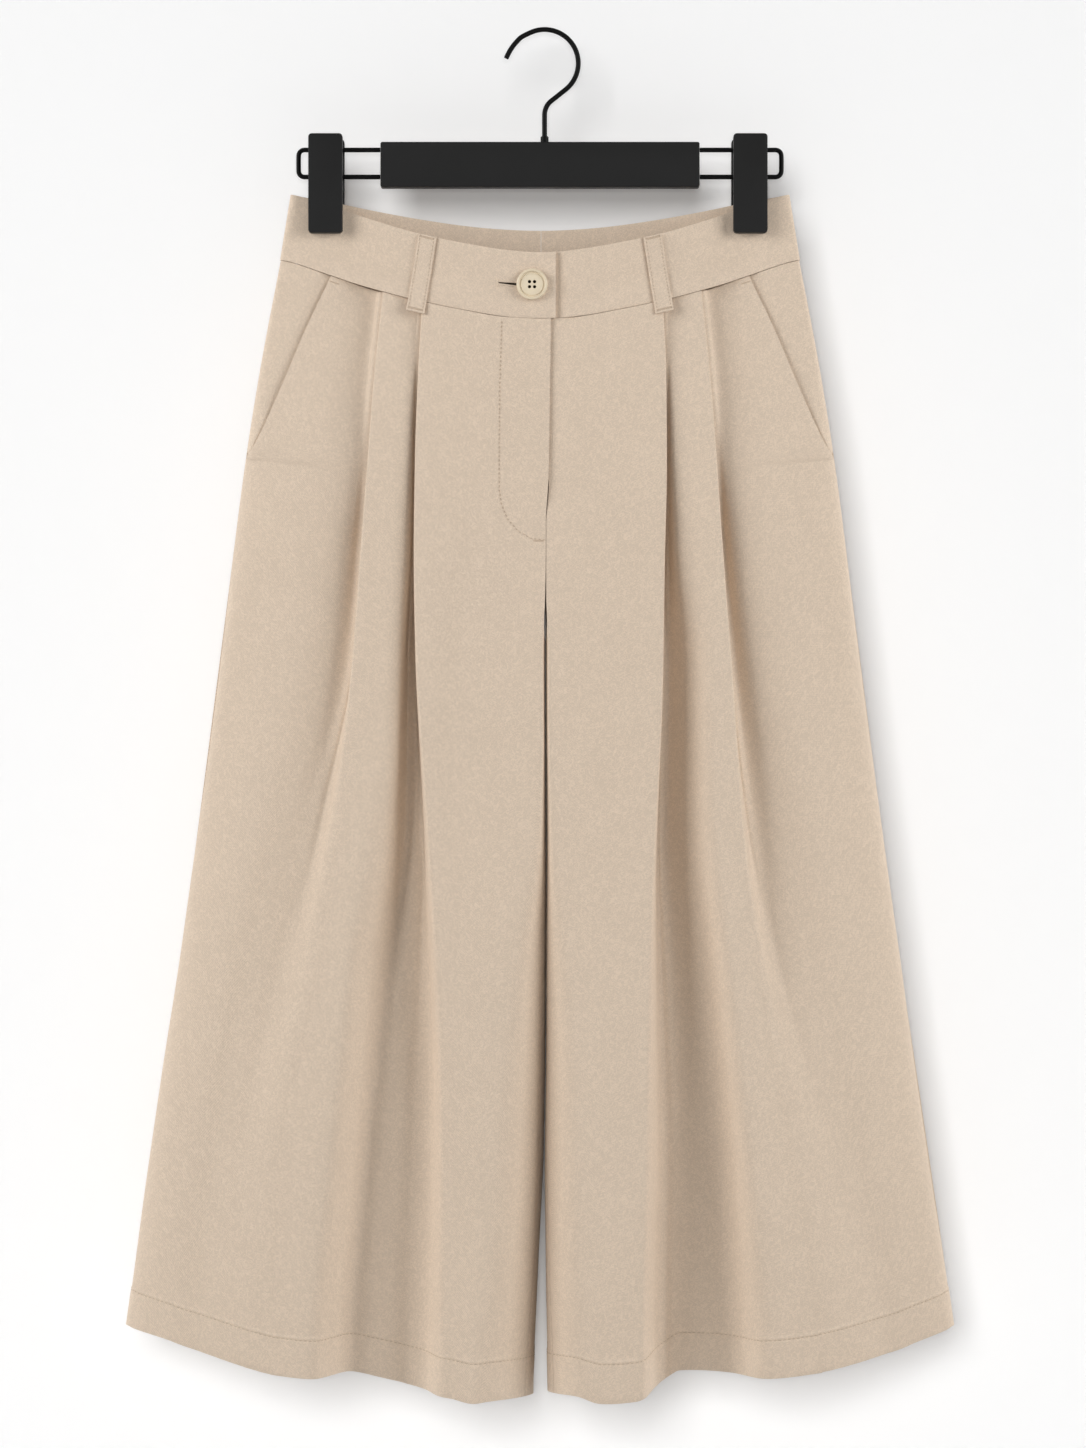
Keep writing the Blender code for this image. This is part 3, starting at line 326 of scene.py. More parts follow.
def inner_leg(half, rows, top, hem, face):
    """Seven stations from the back of the inner leg round to its front.

    Above the slit a panel is flat and ends on the centre line, at the sixth station in front
    and the second behind.  Below it the cloth turns round the leg's back edge with
    LEG_EDGE_RADIUS, runs through the inner wall and turns to the front over the width ROLL.
    Between the two the stations move over gradually.
    """
    side = HALVES[half]
    drop = drop_at(rows, top, hem)
    middle = side * curve(CENTRE, "across" if face == "front" else "across_back", drop)
    wall = middle + curve(CENTRE, "half_gap", drop) + 0.6
    front = curve(CENTRE, "front", drop)
    back = -curve(CENTRE, "back", drop)
    apart = 0.5 * ease((rows - 0.7) / 0.2)
    r, roll = LEG_EDGE_RADIUS, curve(ROLL, half, drop)
    slack = ease((roll - r) / 12.0)
    rounded = ((r, back), (0.3 * r, back + 0.3 * r), (0, back + r), (0, 0.0),
               (0, front - 1.15 * roll),
               ((0.45 - 0.10 * slack) * roll, front - (0.08 + 0.48 * slack) * roll), (roll, front))
    if face == "back":
        end, forward = middle + apart, back
        flat = (4.0, 0.0, -0.6, -1.2, -1.8, -2.4, -3.0)
    else:
        reach = {"right": "lap", "left": "under"}[half]
        end = middle - curve(FLY, reach, rows) + apart
        forward = front - (curve(FLY, "set_back", rows) if half == "left" else 0.0)
        flat = (-3.0, -2.4, -1.8, -1.2, -0.6, 0.0, 4.0)
    parted = ease((rows - 0.82) / 0.14)[:, None]
    return [station(end + beyond, forward, drop) * (1 - parted)
            + station(wall + inward, depth, drop) * parted
            for (inward, depth), beyond in zip(rounded, flat)]


def pleat_stations(valley, rim, edge, floor):
    """The six stations of a pleat, from its edge to the start of its valley floor.

    Pressed, they run to the edge, back under it by PLEAT_FOLD and out again, a layer apart.
    Open, they follow one steep step from the edge down to the floor, over a share of the way.
    """
    step = 0.6 * PLEAT_LAYER
    back = (-step, 0.0, -step, step - PLEAT_FOLD, -PLEAT_FOLD, step - PLEAT_FOLD)
    down = (0.0, 0.5, 1.0, 1.0, 1.5, 2.0)
    along = (-0.06, 0.06, 0.22, 0.42, 0.62, 0.82)
    drop_edge, drop_floor = edge[2], floor[2]
    share = curve(PRESSED, "share", drop_edge)
    wall = curve(valley, "wall" + rim, drop_edge)
    stations = []
    for b, d, t in zip(back, down, along):
        across = share * (edge[0] + b) + (1 - share) * (edge[0] + (floor[0] - edge[0]) * t)
        open_forward = edge[1] + (floor[1] - edge[1]) * ease(t / wall)
        forward = share * (edge[1] - d * PLEAT_LAYER) + (1 - share) * open_forward
        stations.append(station(across, forward, drop_edge + (drop_floor - drop_edge) * max(t, 0)))
    return stations


def rim_station(valley, floor, ridge, rim):
    """The far rim of a valley, part of the way from its floor to the next ridge."""
    along, up = (curve(valley, key + rim, floor[2]) for key in ("along", "up"))
    return station(floor[0] + (ridge[0] - floor[0]) * along,
                   floor[1] + (ridge[1] - floor[1]) * up,
                   floor[2] + (ridge[2] - floor[2]) * along)


def side_stations(rows, top, hem):
    """The rounded side: a roll in front, the side line itself and a roll behind."""
    drop = drop_at(rows, top, hem)
    width, radius = curve(OUTLINE, "half_width", drop), curve(OUTLINE, "side_radius", drop)
    return [station(width - 0.5 * radius, 0.87 * radius, drop), station(width, 0.0, drop),
            station(width - 0.5 * radius, -0.87 * radius, drop)]


def front_stations(half, rows):
    """All stations of a front panel, from the inner side of the leg out to the side."""
    across, forward, hem = ACROSS[half], FORWARD[half], {k: v[0] for k, v in HEM[half].items()}

    def line(name):
        drop = drop_at(rows, seam_drop(BAND_FRONT, across[name][0]), hem[name])
        return curve(across, name, drop), curve(forward, name, drop), drop

    stations = inner_leg(half, rows, BAND_FRONT["low_drop"][0], hem["centre"], "front")
    stations.append(station(*line("crest")))
    for edge, floor, after, rim in (("pleat", "floor", "ridge", ""),
                                    ("pleat_2", "floor_2", "outer", "_2")):
        stations += pleat_stations(VALLEY[half], rim, line(edge), line(floor))
        stations += [station(*line(floor)), rim_station(VALLEY[half], line(floor), line(after), rim),
                     station(*line(after))]
    stations += side_stations(rows, BAND_FRONT["low_drop"][-1], hem["side"])
    return np.stack(stations, axis=1)


def places_between(start, end, count):
    """Evenly spaced places from start to end, a row each, without the last."""
    share = np.linspace(0, 1, count, endpoint=False)
    start, end = np.broadcast_arrays(np.asarray(start, float), np.asarray(end, float))
    return start[:, None] + (end - start)[:, None] * share


def pocket_ends(stations, rows):
    """Place along the stations where each row of a front panel meets the pocket mouth."""
    places = np.tile(np.linspace(FLOOR_2, FRONT_SIDE, 181), (len(rows), 1))
    points = spline(stations, places)
    past = points[..., 0] - curve(POCKET_MOUTH, "across", points[..., 2])
    ends = np.array([np.interp(0.0, row, place) for row, place in zip(past, places)])
    return np.where(points[:, -1, 2] > POCKET_MOUTH["drop"][-1], float(FRONT_SIDE), ends)


def finish_edges(points, rows, band=None, first=True, last=True):
    """Draw the sewn edges back by half a seam gap, and bring the top edge to the band's edge."""
    for wanted, edge, inside in ((first, 0, 1), (last, -1, -2)):
        if wanted:
            along = points[:, inside] - points[:, edge]
            points[:, edge] += 0.5 * SEAM_GAP * along / np.linalg.norm(along, axis=-1, keepdims=True)
    if band:
        shift = seam_drop(band, points[0, :, 0]) + WAIST_GAP - points[0, :, 2]
        points[..., 2] += shift * (1.0 - ease(rows / 0.12))[:, None]
    return points


def inward_normals(points):
    """Unit normals of a grid, the cross product of its along and down steps, into the garment."""
    down, along = np.gradient(points, axis=0), np.gradient(points, axis=1)
    normal = np.cross(along, down)
    return normal / np.maximum(np.linalg.norm(normal, axis=-1, keepdims=True), 1e-9)


def crease(points, creases, outward):
    """Move a grid along outward normals by soft creases.

    Each crease is a bell across its own line, exp(-(distance / width) squared), that swells in
    over the first third of its length and fades over the last third.
    """
    height = np.zeros(points.shape[:2])
    for x0, z0, x1, z1, width, rise in zip(*creases.values()):
        run = np.array([x1 - x0, z1 - z0])
        offset = points[..., ::2] - (x0, z0)
        t = offset @ run / (run @ run)
        bow = 0.06 * np.linalg.norm(run) * np.sin(np.pi * np.clip(t, 0, 1))
        away = (offset[..., 0] * run[1] - offset[..., 1] * run[0]) / np.linalg.norm(run) - bow
        fade = ease(t / 0.35) * ease((1 - t) / 0.35)
        height += rise * fade * np.exp(-(away / width) ** 2)
    return points + outward * height[..., None]


def to_world(points, half):
    """Table points (across, forward, drop) as world points in metres."""
    x = MIDDLE_X + HALVES[half] * points[..., 0]
    return np.stack([x, -points[..., 1], -points[..., 2]], axis=-1) / 1000.0


def weave_group():
    """Node group of the cloth's face, from a UV map in metres.

    Twill: two crossed waves, the steep one strong.  Nap: the thin lines where a noise crosses
    its middle value, which read as short curled fibres.  Height joins both with a fine noise.
    Tone is a soft mottle round 1, raised where the height is high and lowered where it is low:
    painted highlight on the raised threads and fibres and painted shade in the weave's hollows.
    """
    group = bpy.data.node_groups.new("brushed twill", "ShaderNodeTree")
    socket = group.interface.new_socket
    socket("Vector", in_out="INPUT", socket_type="NodeSocketVector")
    for name, value in (("Twill", 0.5), ("Nap", 0.5), ("Mottle", 0.05)):
        socket(name, in_out="INPUT", socket_type="NodeSocketFloat").default_value = value
    socket("Height", in_out="OUTPUT", socket_type="NodeSocketFloat")
    socket("Tone", in_out="OUTPUT", socket_type="NodeSocketFloat")
    nodes, links = group.nodes, group.links
    start, end = nodes.new("NodeGroupInput"), nodes.new("NodeGroupOutput")

    def wave(angle, scale, distortion, detail_scale):
        turned = nodes.new("ShaderNodeMapping")
        turned.inputs["Rotation"].default_value = (0.0, 0.0, math.radians(angle))
        made = nodes.new("ShaderNodeTexWave")
        made.inputs["Scale"].default_value = scale
        made.inputs["Distortion"].default_value = distortion
        made.inputs["Detail"].default_value = 2.0
        made.inputs["Detail Scale"].default_value = detail_scale
        links.new(start.outputs["Vector"], turned.inputs["Vector"])
        links.new(turned.outputs["Vector"], made.inputs["Vector"])
        return made.outputs["Fac"]

    def noise(scale, detail, distortion=0.0):
        made = nodes.new("ShaderNodeTexNoise")
        made.inputs["Scale"].default_value = scale
        made.inputs["Detail"].default_value = detail
        made.inputs["Distortion"].default_value = distortion
        links.new(start.outputs["Vector"], made.inputs["Vector"])
        return made.outputs["Fac"]

    def math_node(operation, a, b=None, c=None):
        made = nodes.new("ShaderNodeMath")
        made.operation = operation
        for slot, value in zip(made.inputs, (a, b, c)):
            if isinstance(value, (int, float)):
                slot.default_value = value
            elif value is not None:
                links.new(value, slot)
        return made.outputs[0]

    twill = math_node("MULTIPLY_ADD", wave(28, 380, 0.6, 2.0), 0.75,
                      math_node("MULTIPLY", wave(-62, 300, 0.6, 2.0), 0.25))
    middle = math_node("ABSOLUTE", math_node("SUBTRACT", noise(340, 1.0, 1.2), 0.5))
    curls = math_node("MAXIMUM", math_node("SUBTRACT", 1.0, math_node("MULTIPLY", middle, 11.0)), 0.0)
    height = math_node("MULTIPLY_ADD", twill, start.outputs["Twill"],
                       math_node("MULTIPLY", curls, start.outputs["Nap"]))
    height = math_node("MULTIPLY_ADD", noise(1400, 3), 0.5, height)
    soft = math_node("SUBTRACT", math_node("MULTIPLY_ADD", noise(26, 4), 0.7,
                                           math_node("MULTIPLY", noise(240, 3), 0.3)), 0.5)
    tone = math_node("MULTIPLY_ADD", soft, start.outputs["Mottle"], 1.0)
    # painted highlight and shade: lighter where the weave is raised, darker in its hollows
    tone = math_node("MULTIPLY_ADD", math_node("SUBTRACT", height, 0.55), 0.40, tone)
    links.new(height, end.inputs["Height"])
    links.new(tone, end.inputs["Tone"])
    return group


def new_material(name, roughness, specular):
    """A node material with its nodes, links and shader."""
    made = bpy.data.materials.new(name)
    made.use_nodes = True
    shader = made.node_tree.nodes["Principled BSDF"]
    shader.inputs["Roughness"].default_value = roughness
    shader.inputs["Specular IOR Level"].default_value = specular
    return made, made.node_tree.nodes, made.node_tree.links, shader


def tint_and_raise(nodes, links, shader, colour, tone, height, depth):
    """Scale the colour by tone, and raise the surface by height times depth in metres."""
    tint = nodes.new("ShaderNodeVectorMath")
    tint.operation = "SCALE"
    tint.inputs[0].default_value = colour
    links.new(tone, tint.inputs["Scale"])
    links.new(tint.outputs["Vector"], shader.inputs["Base Color"])
    bump = nodes.new("ShaderNodeBump")
    bump.inputs["Distance"].default_value = depth
    links.new(height, bump.inputs["Height"])
    links.new(bump.outputs["Normal"], shader.inputs["Normal"])


def woven_material(name, colour, roughness, weave, depth):
    """A cloth or thread material: the weave group tints the colour and raises the surface."""
    made, nodes, links, shader = new_material(name, roughness, 0.25)
    face = nodes.new("ShaderNodeGroup")
    face.node_tree = brushed_twill
    for key, value in weave.items():
        face.inputs[key].default_value = value
    uv = nodes.new("ShaderNodeUVMap")
    uv.uv_map = "cloth"
    links.new(uv.outputs["UV"], face.inputs["Vector"])
    tint_and_raise(nodes, links, shader, colour, face.outputs["Tone"], face.outputs["Height"], depth)
    shader.inputs["Sheen Weight"].default_value = 0.12
    shader.inputs["Sheen Roughness"].default_value = 0.5
    return made


brushed_twill = weave_group()
cloth_material = woven_material("beige twill", (0.715, 0.583, 0.457), 0.88,
                                {"Twill": 0.4, "Nap": 0.35, "Mottle": 0.06}, 0.00018)


def add_mesh(name, mesh, material, node=None):
    """A mesh as a piece with its material, which rides on the root and may replace a CAD node."""
    mesh.materials.append(material)
    piece = bpy.data.objects.new(name, mesh)
    bpy.context.scene.collection.objects.link(piece)
    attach(piece, "root")
    if node:
        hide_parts(node)
    return piece


def add_piece(name, vertices, faces, material, node=None):
    """A smooth piece from vertices and faces."""
    mesh = bpy.data.meshes.new(name)
    mesh.from_pydata(vertices.tolist(), [], faces if isinstance(faces, list) else faces.tolist())
    mesh.shade_smooth()
    return add_mesh(name, mesh, material, node)


def grid_faces(rows, columns):
    """Four-sided faces of a grid of rows by columns of vertices."""
    index = np.arange(rows * columns).reshape(rows, columns)
    return np.stack([index[:-1, :-1], index[1:, :-1], index[1:, 1:], index[:-1, 1:]],
                    axis=-1).reshape(-1, 4)


def add_cloth(name, points, half, wall, node,
              thick=None, thick_wall=None, edge=0.35, anchor=0):
    """A cloth piece from its grid of points (across, forward, drop).

    The UV map is in metres: each point's length along its row from the anchor column, and down
    its column.  The wall is given by Solidify and its edges are rounded by Bevel.  thick is a
    weight for each row, which brings the wall up to thick_wall, as along a turned-up hem.
    """
    rows, columns = points.shape[:2]
    piece = add_piece(name, to_world(points, half).reshape(-1, 3), grid_faces(rows, columns),
                      cloth_material, node)
    along = np.linalg.norm(np.diff(points, axis=1, prepend=points[:, :1]), axis=-1).cumsum(axis=1)
    down = np.linalg.norm(np.diff(points, axis=0, prepend=points[:1]), axis=-1).cumsum(axis=0)
    fixed = slice(anchor, anchor + 1)
    along = HALVES[half] * (along - along[:, fixed] + points[:, fixed, 0])
    uv = np.stack([along, -down], axis=-1).reshape(-1, 2) / 1000.0
    corners = grid_faces(rows, columns).ravel()
    piece.data.uv_layers.new(name="cloth").data.foreach_set("uv", uv[corners].ravel())
    shell = piece.modifiers.new("wall", "SOLIDIFY")
    shell.offset = 0.0
    shell.thickness = wall / 1000.0
    if thick is not None:
        shell.thickness = thick_wall / 1000.0
        shell.thickness_vertex_group = wall / thick_wall
        group = piece.vertex_groups.new(name="hem")
        index = np.arange(rows * columns).reshape(rows, columns)
        for row in np.flatnonzero(thick > 0.001):
            group.add(index[row].tolist(), float(thick[row]), "REPLACE")
        shell.vertex_group = group.name
    rounded = piece.modifiers.new("edges", "BEVEL")
    rounded.limit_method = "ANGLE"
    rounded.angle_limit = math.radians(60)
    rounded.width = edge / 1000.0
    rounded.segments = 2
    return piece


PANEL_ROWS = np.unique(np.concatenate([
    np.linspace(0, 0.12, 14), np.linspace(0.12, 0.84, 62), np.linspace(0.84, 1.02, 28),
    np.linspace(1.02, 1.93, 82), np.linspace(1.93, 1.955, 21), np.linspace(1.955, 2, 8)]).round(6))
# the hem's thickness starts at HEM_LINE and is drawn in again where its stitches run
HEM_LINE, HEM_STITCHES = 1.943, 1.9475
hem_weight = (ease((PANEL_ROWS - HEM_LINE + 0.002) / 0.004)
              * (1.0 - 0.9 * np.exp(-((PANEL_ROWS - HEM_STITCHES) / 0.0013) ** 2)))
# columns from a front panel's inner edge to its crest, from where its UV map is measured
CREST_COLUMN, SOFTENED = 20, 12
grids = {}


def front_grid(half):
    """A front panel's grid: stations, columns between them, soft creases and sewn edges.

    The drops are averaged along each row in SOFTENED rounds, so that the hem runs in one soft
    line.
    """
    stations = front_stations(half, PANEL_ROWS)
    start = curve(SEAM_PLACE, "front", PANEL_ROWS)
    mouth = pocket_ends(stations, PANEL_ROWS)
    places = np.concatenate([
        places_between(start, CREST, CREST_COLUMN),
        *(places_between(np.full(len(PANEL_ROWS), CREST + i), CREST + i + 1.0, count)
          for i, count in enumerate((10, 6, 6, 5, 8, 8, 5, 8, 7, 6, 6, 6, 5, 8, 8, 5))),
        places_between(np.full(len(PANEL_ROWS), float(FLOOR_2)), mouth, 22), mouth[:, None]], axis=1)
    points = spline(stations, places)
    for _ in range(SOFTENED):
        points[:, 1:-1, 2] = 0.5 * points[:, 1:-1, 2] + 0.25 * (points[:, :-2, 2] + points[:, 2:, 2])
    points = crease(points, FRONT_CREASES[half], -inward_normals(points))
    return finish_edges(points, PANEL_ROWS, BAND_FRONT)


for half in HALVES:
    grids[f"front_{half}"] = front_grid(half)
    add_cloth(f"front_panel_{half}", grids[f"front_{half}"], half, CLOTH_WALL, f"front_{half}",
              thick=hem_weight, thick_wall=HEM_WALL,
              anchor=CREST_COLUMN)


# ================================================================ hip panels
# The cloth that shows behind each slanted pocket mouth.  It is sewn into the side seam and the
# waist seam, and lies under the front panel.
HIP_TUCK, HIP_RISE, HIP_BEHIND = 14.0, 7.0, 1.98


def hip_grid(half):
    """The front's own surface past the mouth, moved in behind the panel where they overlap."""
    rows = np.linspace(0, 0.492, 76)
    stations = front_stations(half, rows)
    mouth = pocket_ends(stations, rows)
    step = stations[:, FRONT_SIDE - 2] - stations[:, FRONT_SIDE - 1]
    tuck = HIP_TUCK / np.linalg.norm(step, axis=-1)
    start = np.minimum(mouth - tuck, FRONT_SIDE - 0.9)
    places = start[:, None] + (FRONT_SIDE - start)[:, None] * np.linspace(0, 1, 40)
    points = spline(stations, places)
    past_mouth = (places - mouth[:, None]) * HIP_TUCK / tuck[:, None]
    rise = HIP_RISE - 5.0 * ease((rows - 0.30) / 0.14)
    low = 1.0 + 0.5 * ease((rows - 0.474) / 0.014)
    behind = np.maximum(1.0 - ease(past_mouth / rise[:, None]), ease((rows - 0.478) / 0.01)[:, None])
    points = points + inward_normals(points) * (behind * low[:, None] * HIP_BEHIND)[..., None]
    return finish_edges(points, rows, BAND_FRONT, first=False)


for half in HALVES:
    grids[f"hip_{half}"] = hip_grid(half)
    add_cloth(f"hip_cloth_{half}", grids[f"hip_{half}"], half, CLOTH_WALL, f"hip_panel_{half}")


# ================================================================ back leg panels
# Two panels with soft folds, sewn to each other along the centre back seam, and at the side and
# the inner leg to the front panels.  Each runs round the inner leg to the inseam.
BACK_FOLDS = {
    "right": table(
        "share  waist  hip   thigh  knee  hem  hem_drop",
        (0.84, 5.0, 13.0, 15.0, 17.0, 15.0, 914.0),
        (0.64, 9.5, 23.0, 29.0, 34.0, 39.0, 928.0),
        (0.45, 13.5, 27.0, 29.0, 26.0, 22.0, 931.0),
        (0.25, 17.5, 29.0, 33.0, 37.0, 42.0, 941.0)),
    "left": table(
        "share  waist  hip   thigh  knee  hem  hem_drop",
        (0.82, 5.5, 14.0, 16.0, 15.0, 14.0, 915.0),
        (0.61, 10.0, 24.0, 30.0, 36.0, 40.0, 929.0),
        (0.42, 14.0, 27.5, 28.0, 24.0, 21.0, 931.0),
        (0.22, 17.5, 29.5, 34.0, 38.0, 43.0, 942.0)),
}
BACK_LEVELS = np.array((180.0, 290.0, 430.0, 680.0, 940.0))
BACK_SIDE, BACK_SHOULDER = 1, 7
BAND_BACK = table(
    "top_across  top_forward  top_drop  low_across  low_forward  low_drop",
    (0.0, -20.0, 137.0, 0.0, -22.0, 183.0),
    (25.0, -19.6, 136.2, 25.0, -21.6, 182.2),
    (52.0, -17.6, 134.0, 53.0, -19.8, 180.0),
    (84.0, -13.0, 129.9, 86.0, -16.2, 176.0),
    (110.0, -7.6, 125.8, 113.0, -12.0, 172.2),
    (124.0, -4.0, 123.4, 128.0, -9.4, 169.6),
    (133.0, -2.4, 121.6, 137.0, -7.8, 168.0),
    (150.0, -2.4, 118.2, 154.5, -6.0, 164.8),
    (166.0, -2.4, 115.4, 172.5, -4.4, 161.4),
    (172.2, -1.9, 114.4, 179.4, -2.6, 160.2),
    (173.6, 0.0, 114.2, 181.0, 0.0, 160.0))
BACK_CREASES = {
    "right": table(
        "across  drop  across_2  drop_2  width  height",
        (60, 230, 66, 420, 15, 1.2),
        (30, 420, 24, 800, 16, -1.3),
        (112, 260, 128, 560, 18, -1.6),
        (150, 300, 176, 640, 15, 1.3),
        (84, 520, 92, 900, 14, 1.2),
        (200, 520, 236, 880, 18, -1.5),
        (20, 360, 62, 440, 12, -0.9),
        (150, 680, 168, 920, 15, -1.2)),
    "left": table(
        "across  drop  across_2  drop_2  width  height",
        (48, 250, 56, 470, 16, 1.1),
        (26, 470, 22, 760, 15, -1.2),
        (104, 300, 118, 620, 17, -1.5),
        (146, 260, 170, 600, 16, 1.2),
        (70, 600, 76, 920, 15, 1.3),
        (196, 480, 228, 840, 17, -1.5),
        (18, 380, 56, 452, 11, -0.8),
        (136, 720, 150, 930, 14, -1.2)),
}


def back_stations(half, rows):
    """All stations of a back panel, from the side to the centre back and round the inner leg."""
    top = BAND_BACK["low_drop"]
    stations = side_stations(rows, top[-1], HEM[half]["side"][0])
    folds = BACK_FOLDS[half]
    for i, share in enumerate(folds["share"]):
        drop = drop_at(rows, seam_drop(BAND_BACK, share * BAND_BACK["low_across"][-1]),
                       folds["hem_drop"][i])
        width = curve(OUTLINE, "half_width", drop)
        depth = np.array([folds[level][i] for level in ("waist", "hip", "thigh", "knee", "hem")])
        stations.append(station(share * width, -smooth(drop, BACK_LEVELS, depth), drop))
    stations += inner_leg(half, rows, top[0], HEM[half]["centre"][0], "back")
    stations.append(stations[-1] + (20.0, 0.0, 0.0))
    return np.stack(stations, axis=1)


def back_grid(half):
    """A back panel's grid, with columns close together where it turns round the leg's edges."""
    stations = back_stations(half, PANEL_ROWS)
    ones = np.ones(len(PANEL_ROWS))
    end = BACK_SHOULDER + curve(SEAM_PLACE, "back", PANEL_ROWS)
    places = np.concatenate([
        places_between(BACK_SIDE * ones, BACK_SIDE + 1.0, 8),
        places_between((BACK_SIDE + 1) * ones, float(BACK_SHOULDER), 62),
        places_between(BACK_SHOULDER * ones, end, 36), end[:, None]], axis=1)
    points = spline(stations, places)
    points = crease(points, BACK_CREASES[half], -inward_normals(points))
    return finish_edges(points, PANEL_ROWS, BAND_BACK)


for half in HALVES:
    grids[f"back_{half}"] = back_grid(half)
    add_cloth(f"back_panel_{half}", grids[f"back_{half}"], half, CLOTH_WALL, f"back_{half}",
              thick=hem_weight, thick_wall=HEM_WALL)


# ================================================================ waistband
# A contoured band of two layers, cut in quarters: the fronts meet the backs at the side seams,
# the wearer's right end laps over the left end, and the clips pinch its upper part flat.
BAND_WALL = 2.0
BAND_LAP, BAND_UNDERLAP, BAND_SET_BACK, BAND_RISE = 6.6, 3.0, 2.6, 9.0
BAND_MIDDLE, BAND_SIDE, SWELL_START = 2, 12, 0.52


def band_stations(band, shares):
    """Stations of a waistband at shares of its height, from past the middle round the side.

    The upper part keeps the top edge's plan, which the clips pinch flat, and the lower part
    swells out to the waist seam.
    """
    shares = np.asarray(shares, dtype=float)[:, None]
    swell = ease((shares - SWELL_START) / (1 - SWELL_START))
    across = band["top_across"] + (band["low_across"] - band["top_across"]) * shares
    forward = band["top_forward"] + (band["low_forward"] - band["top_forward"]) * swell
    drop = band["top_drop"] + (band["low_drop"] - band["top_drop"]) * shares
    rows = station(across, forward, drop)
    return np.concatenate([rows[:, 2:0:-1] * (-1, 1, 1), rows, rows[:, -2:-1] * (1, -1, 1)], axis=1)


def band_grid(half, face):
    """A quarter of the waistband: the stations read along the band at even places."""
    band = BAND_FRONT if face == "front" else BAND_BACK
    end = HALVES[half] * CENTRE["across" if face == "front" else "across_back"][0]
    if face == "front":
        end -= BAND_LAP if half == "right" else BAND_UNDERLAP
    shares = np.linspace(0, 1, 25)
    start = BAND_MIDDLE + end / band["top_across"][1]
    places = np.tile(np.linspace(start, BAND_SIDE, 130), (len(shares), 1))
    points = spline(band_stations(band, shares), places)
    if half == "left" and face == "front":
        bare = CENTRE["across"][0] + BAND_LAP + 1.0
        points[..., 1] -= BAND_SET_BACK * (1.0 - ease((points[..., 0] - bare) / BAND_RISE))
    return finish_edges(points, shares, first=face == "back")


for half in HALVES:
    for face in ("front", "back"):
        grids[f"band_{face}_{half}"] = band_grid(half, face)
        add_cloth(f"waistband_{face}_panel_{half}", grids[f"band_{face}_{half}"], half, BAND_WALL,
                  f"waistband_{face}_{half}",
                  edge=0.7)


# ================================================================ belt loops
# Narrow strips folded in three and stitched along both edges.  Each is sewn down at the band's
# top edge and again just below the waist seam.
LOOP_TOP, LOOP_LOW, LOOP_WIDTH, LOOP_WALL = 77.9, 86.2, 12.6, 1.25
LOOP_END, LOOP_GAP, LOOP_LIFT = 1.19, 0.55, 1.8


def loop_grid(face):
    """The band's own surface moved out, from its top edge to below the waist seam."""
    band, outward = (BAND_FRONT, 1.0) if face == "front" else (BAND_BACK, -1.0)
    shares = np.linspace(0, LOOP_END, 36)
    middle = LOOP_TOP + (LOOP_LOW - LOOP_TOP) * shares / LOOP_END
    across = middle[:, None] + LOOP_WIDTH * np.linspace(-0.5, 0.5, 13)
    stations = band_stations(band, np.minimum(shares, 1.0))
    places = np.array([np.interp(row, line, np.arange(len(line)))
                       for row, line in zip(across, stations[:, :-1, 0])])
    points = spline(stations, places)
    below = np.maximum(shares - 1.0, 0.0)[:, None] / (LOOP_END - 1.0)
    points[..., 2] += below * (LOOP_END - 1.0) * (band["low_drop"] - band["top_drop"])[3]
    points[..., 1] += outward * (0.5 * (BAND_WALL + LOOP_WALL) + LOOP_GAP + below * LOOP_LIFT)
    return points


for half in HALVES:
    for face in ("front", "back"):
        grids[f"loop_{face}_{half}"] = loop_grid(face)
        add_cloth(f"belt_loop_{face}_strip_{half}", grids[f"loop_{face}_{half}"], half, LOOP_WALL,
                  f"belt_loop_{face}_{half}",
                  edge=0.4)


# ================================================================ stitching
# Thread near the cloth's colour; the deeper beige one is partly its own colour and partly
# painted shade of the stitch holes.  Every stitch is a small bead of thread, sunk into the cloth
# at both ends: the turned-up hems, the curved fly stitching, the edges and bar tacks of the belt
# loops, the tacks at the pocket mouths, the inner edge of the back waistband and the buttonhole.
# the deeper beige thread's colour is partly painted shade of the stitch holes
beige_thread, shade_darkened_thread = (
    woven_material(name, colour, 0.7, {"Twill": 0.9, "Nap": 0.0, "Mottle": 0.10}, 0.00003)
    for name, colour in (("beige thread", (0.60, 0.475, 0.355)),
                         ("beige thread darkened with painted stitch shade", (0.49, 0.38, 0.275))))
BEAD_AROUND, BEAD_RINGS = 6, 4
bead_turn = np.arange(BEAD_AROUND) * 2 * math.pi / BEAD_AROUND
bead_along = np.linspace(-0.72, 0.72, BEAD_RINGS)
ring = np.arange(BEAD_AROUND)
after, last = (ring + 1) % BEAD_AROUND, BEAD_AROUND * (BEAD_RINGS - 1)
tips = (last + BEAD_AROUND, last + BEAD_AROUND + 1)
bead_quads = np.concatenate([
    np.stack([ring, after, after + BEAD_AROUND, ring + BEAD_AROUND], axis=1) + r * BEAD_AROUND
    for r in range(BEAD_RINGS - 1)])
bead_ends = np.concatenate([np.stack([0 * ring + tips[0], after, ring], axis=1),
                            np.stack([0 * ring + tips[1], last + ring, last + after], axis=1)])


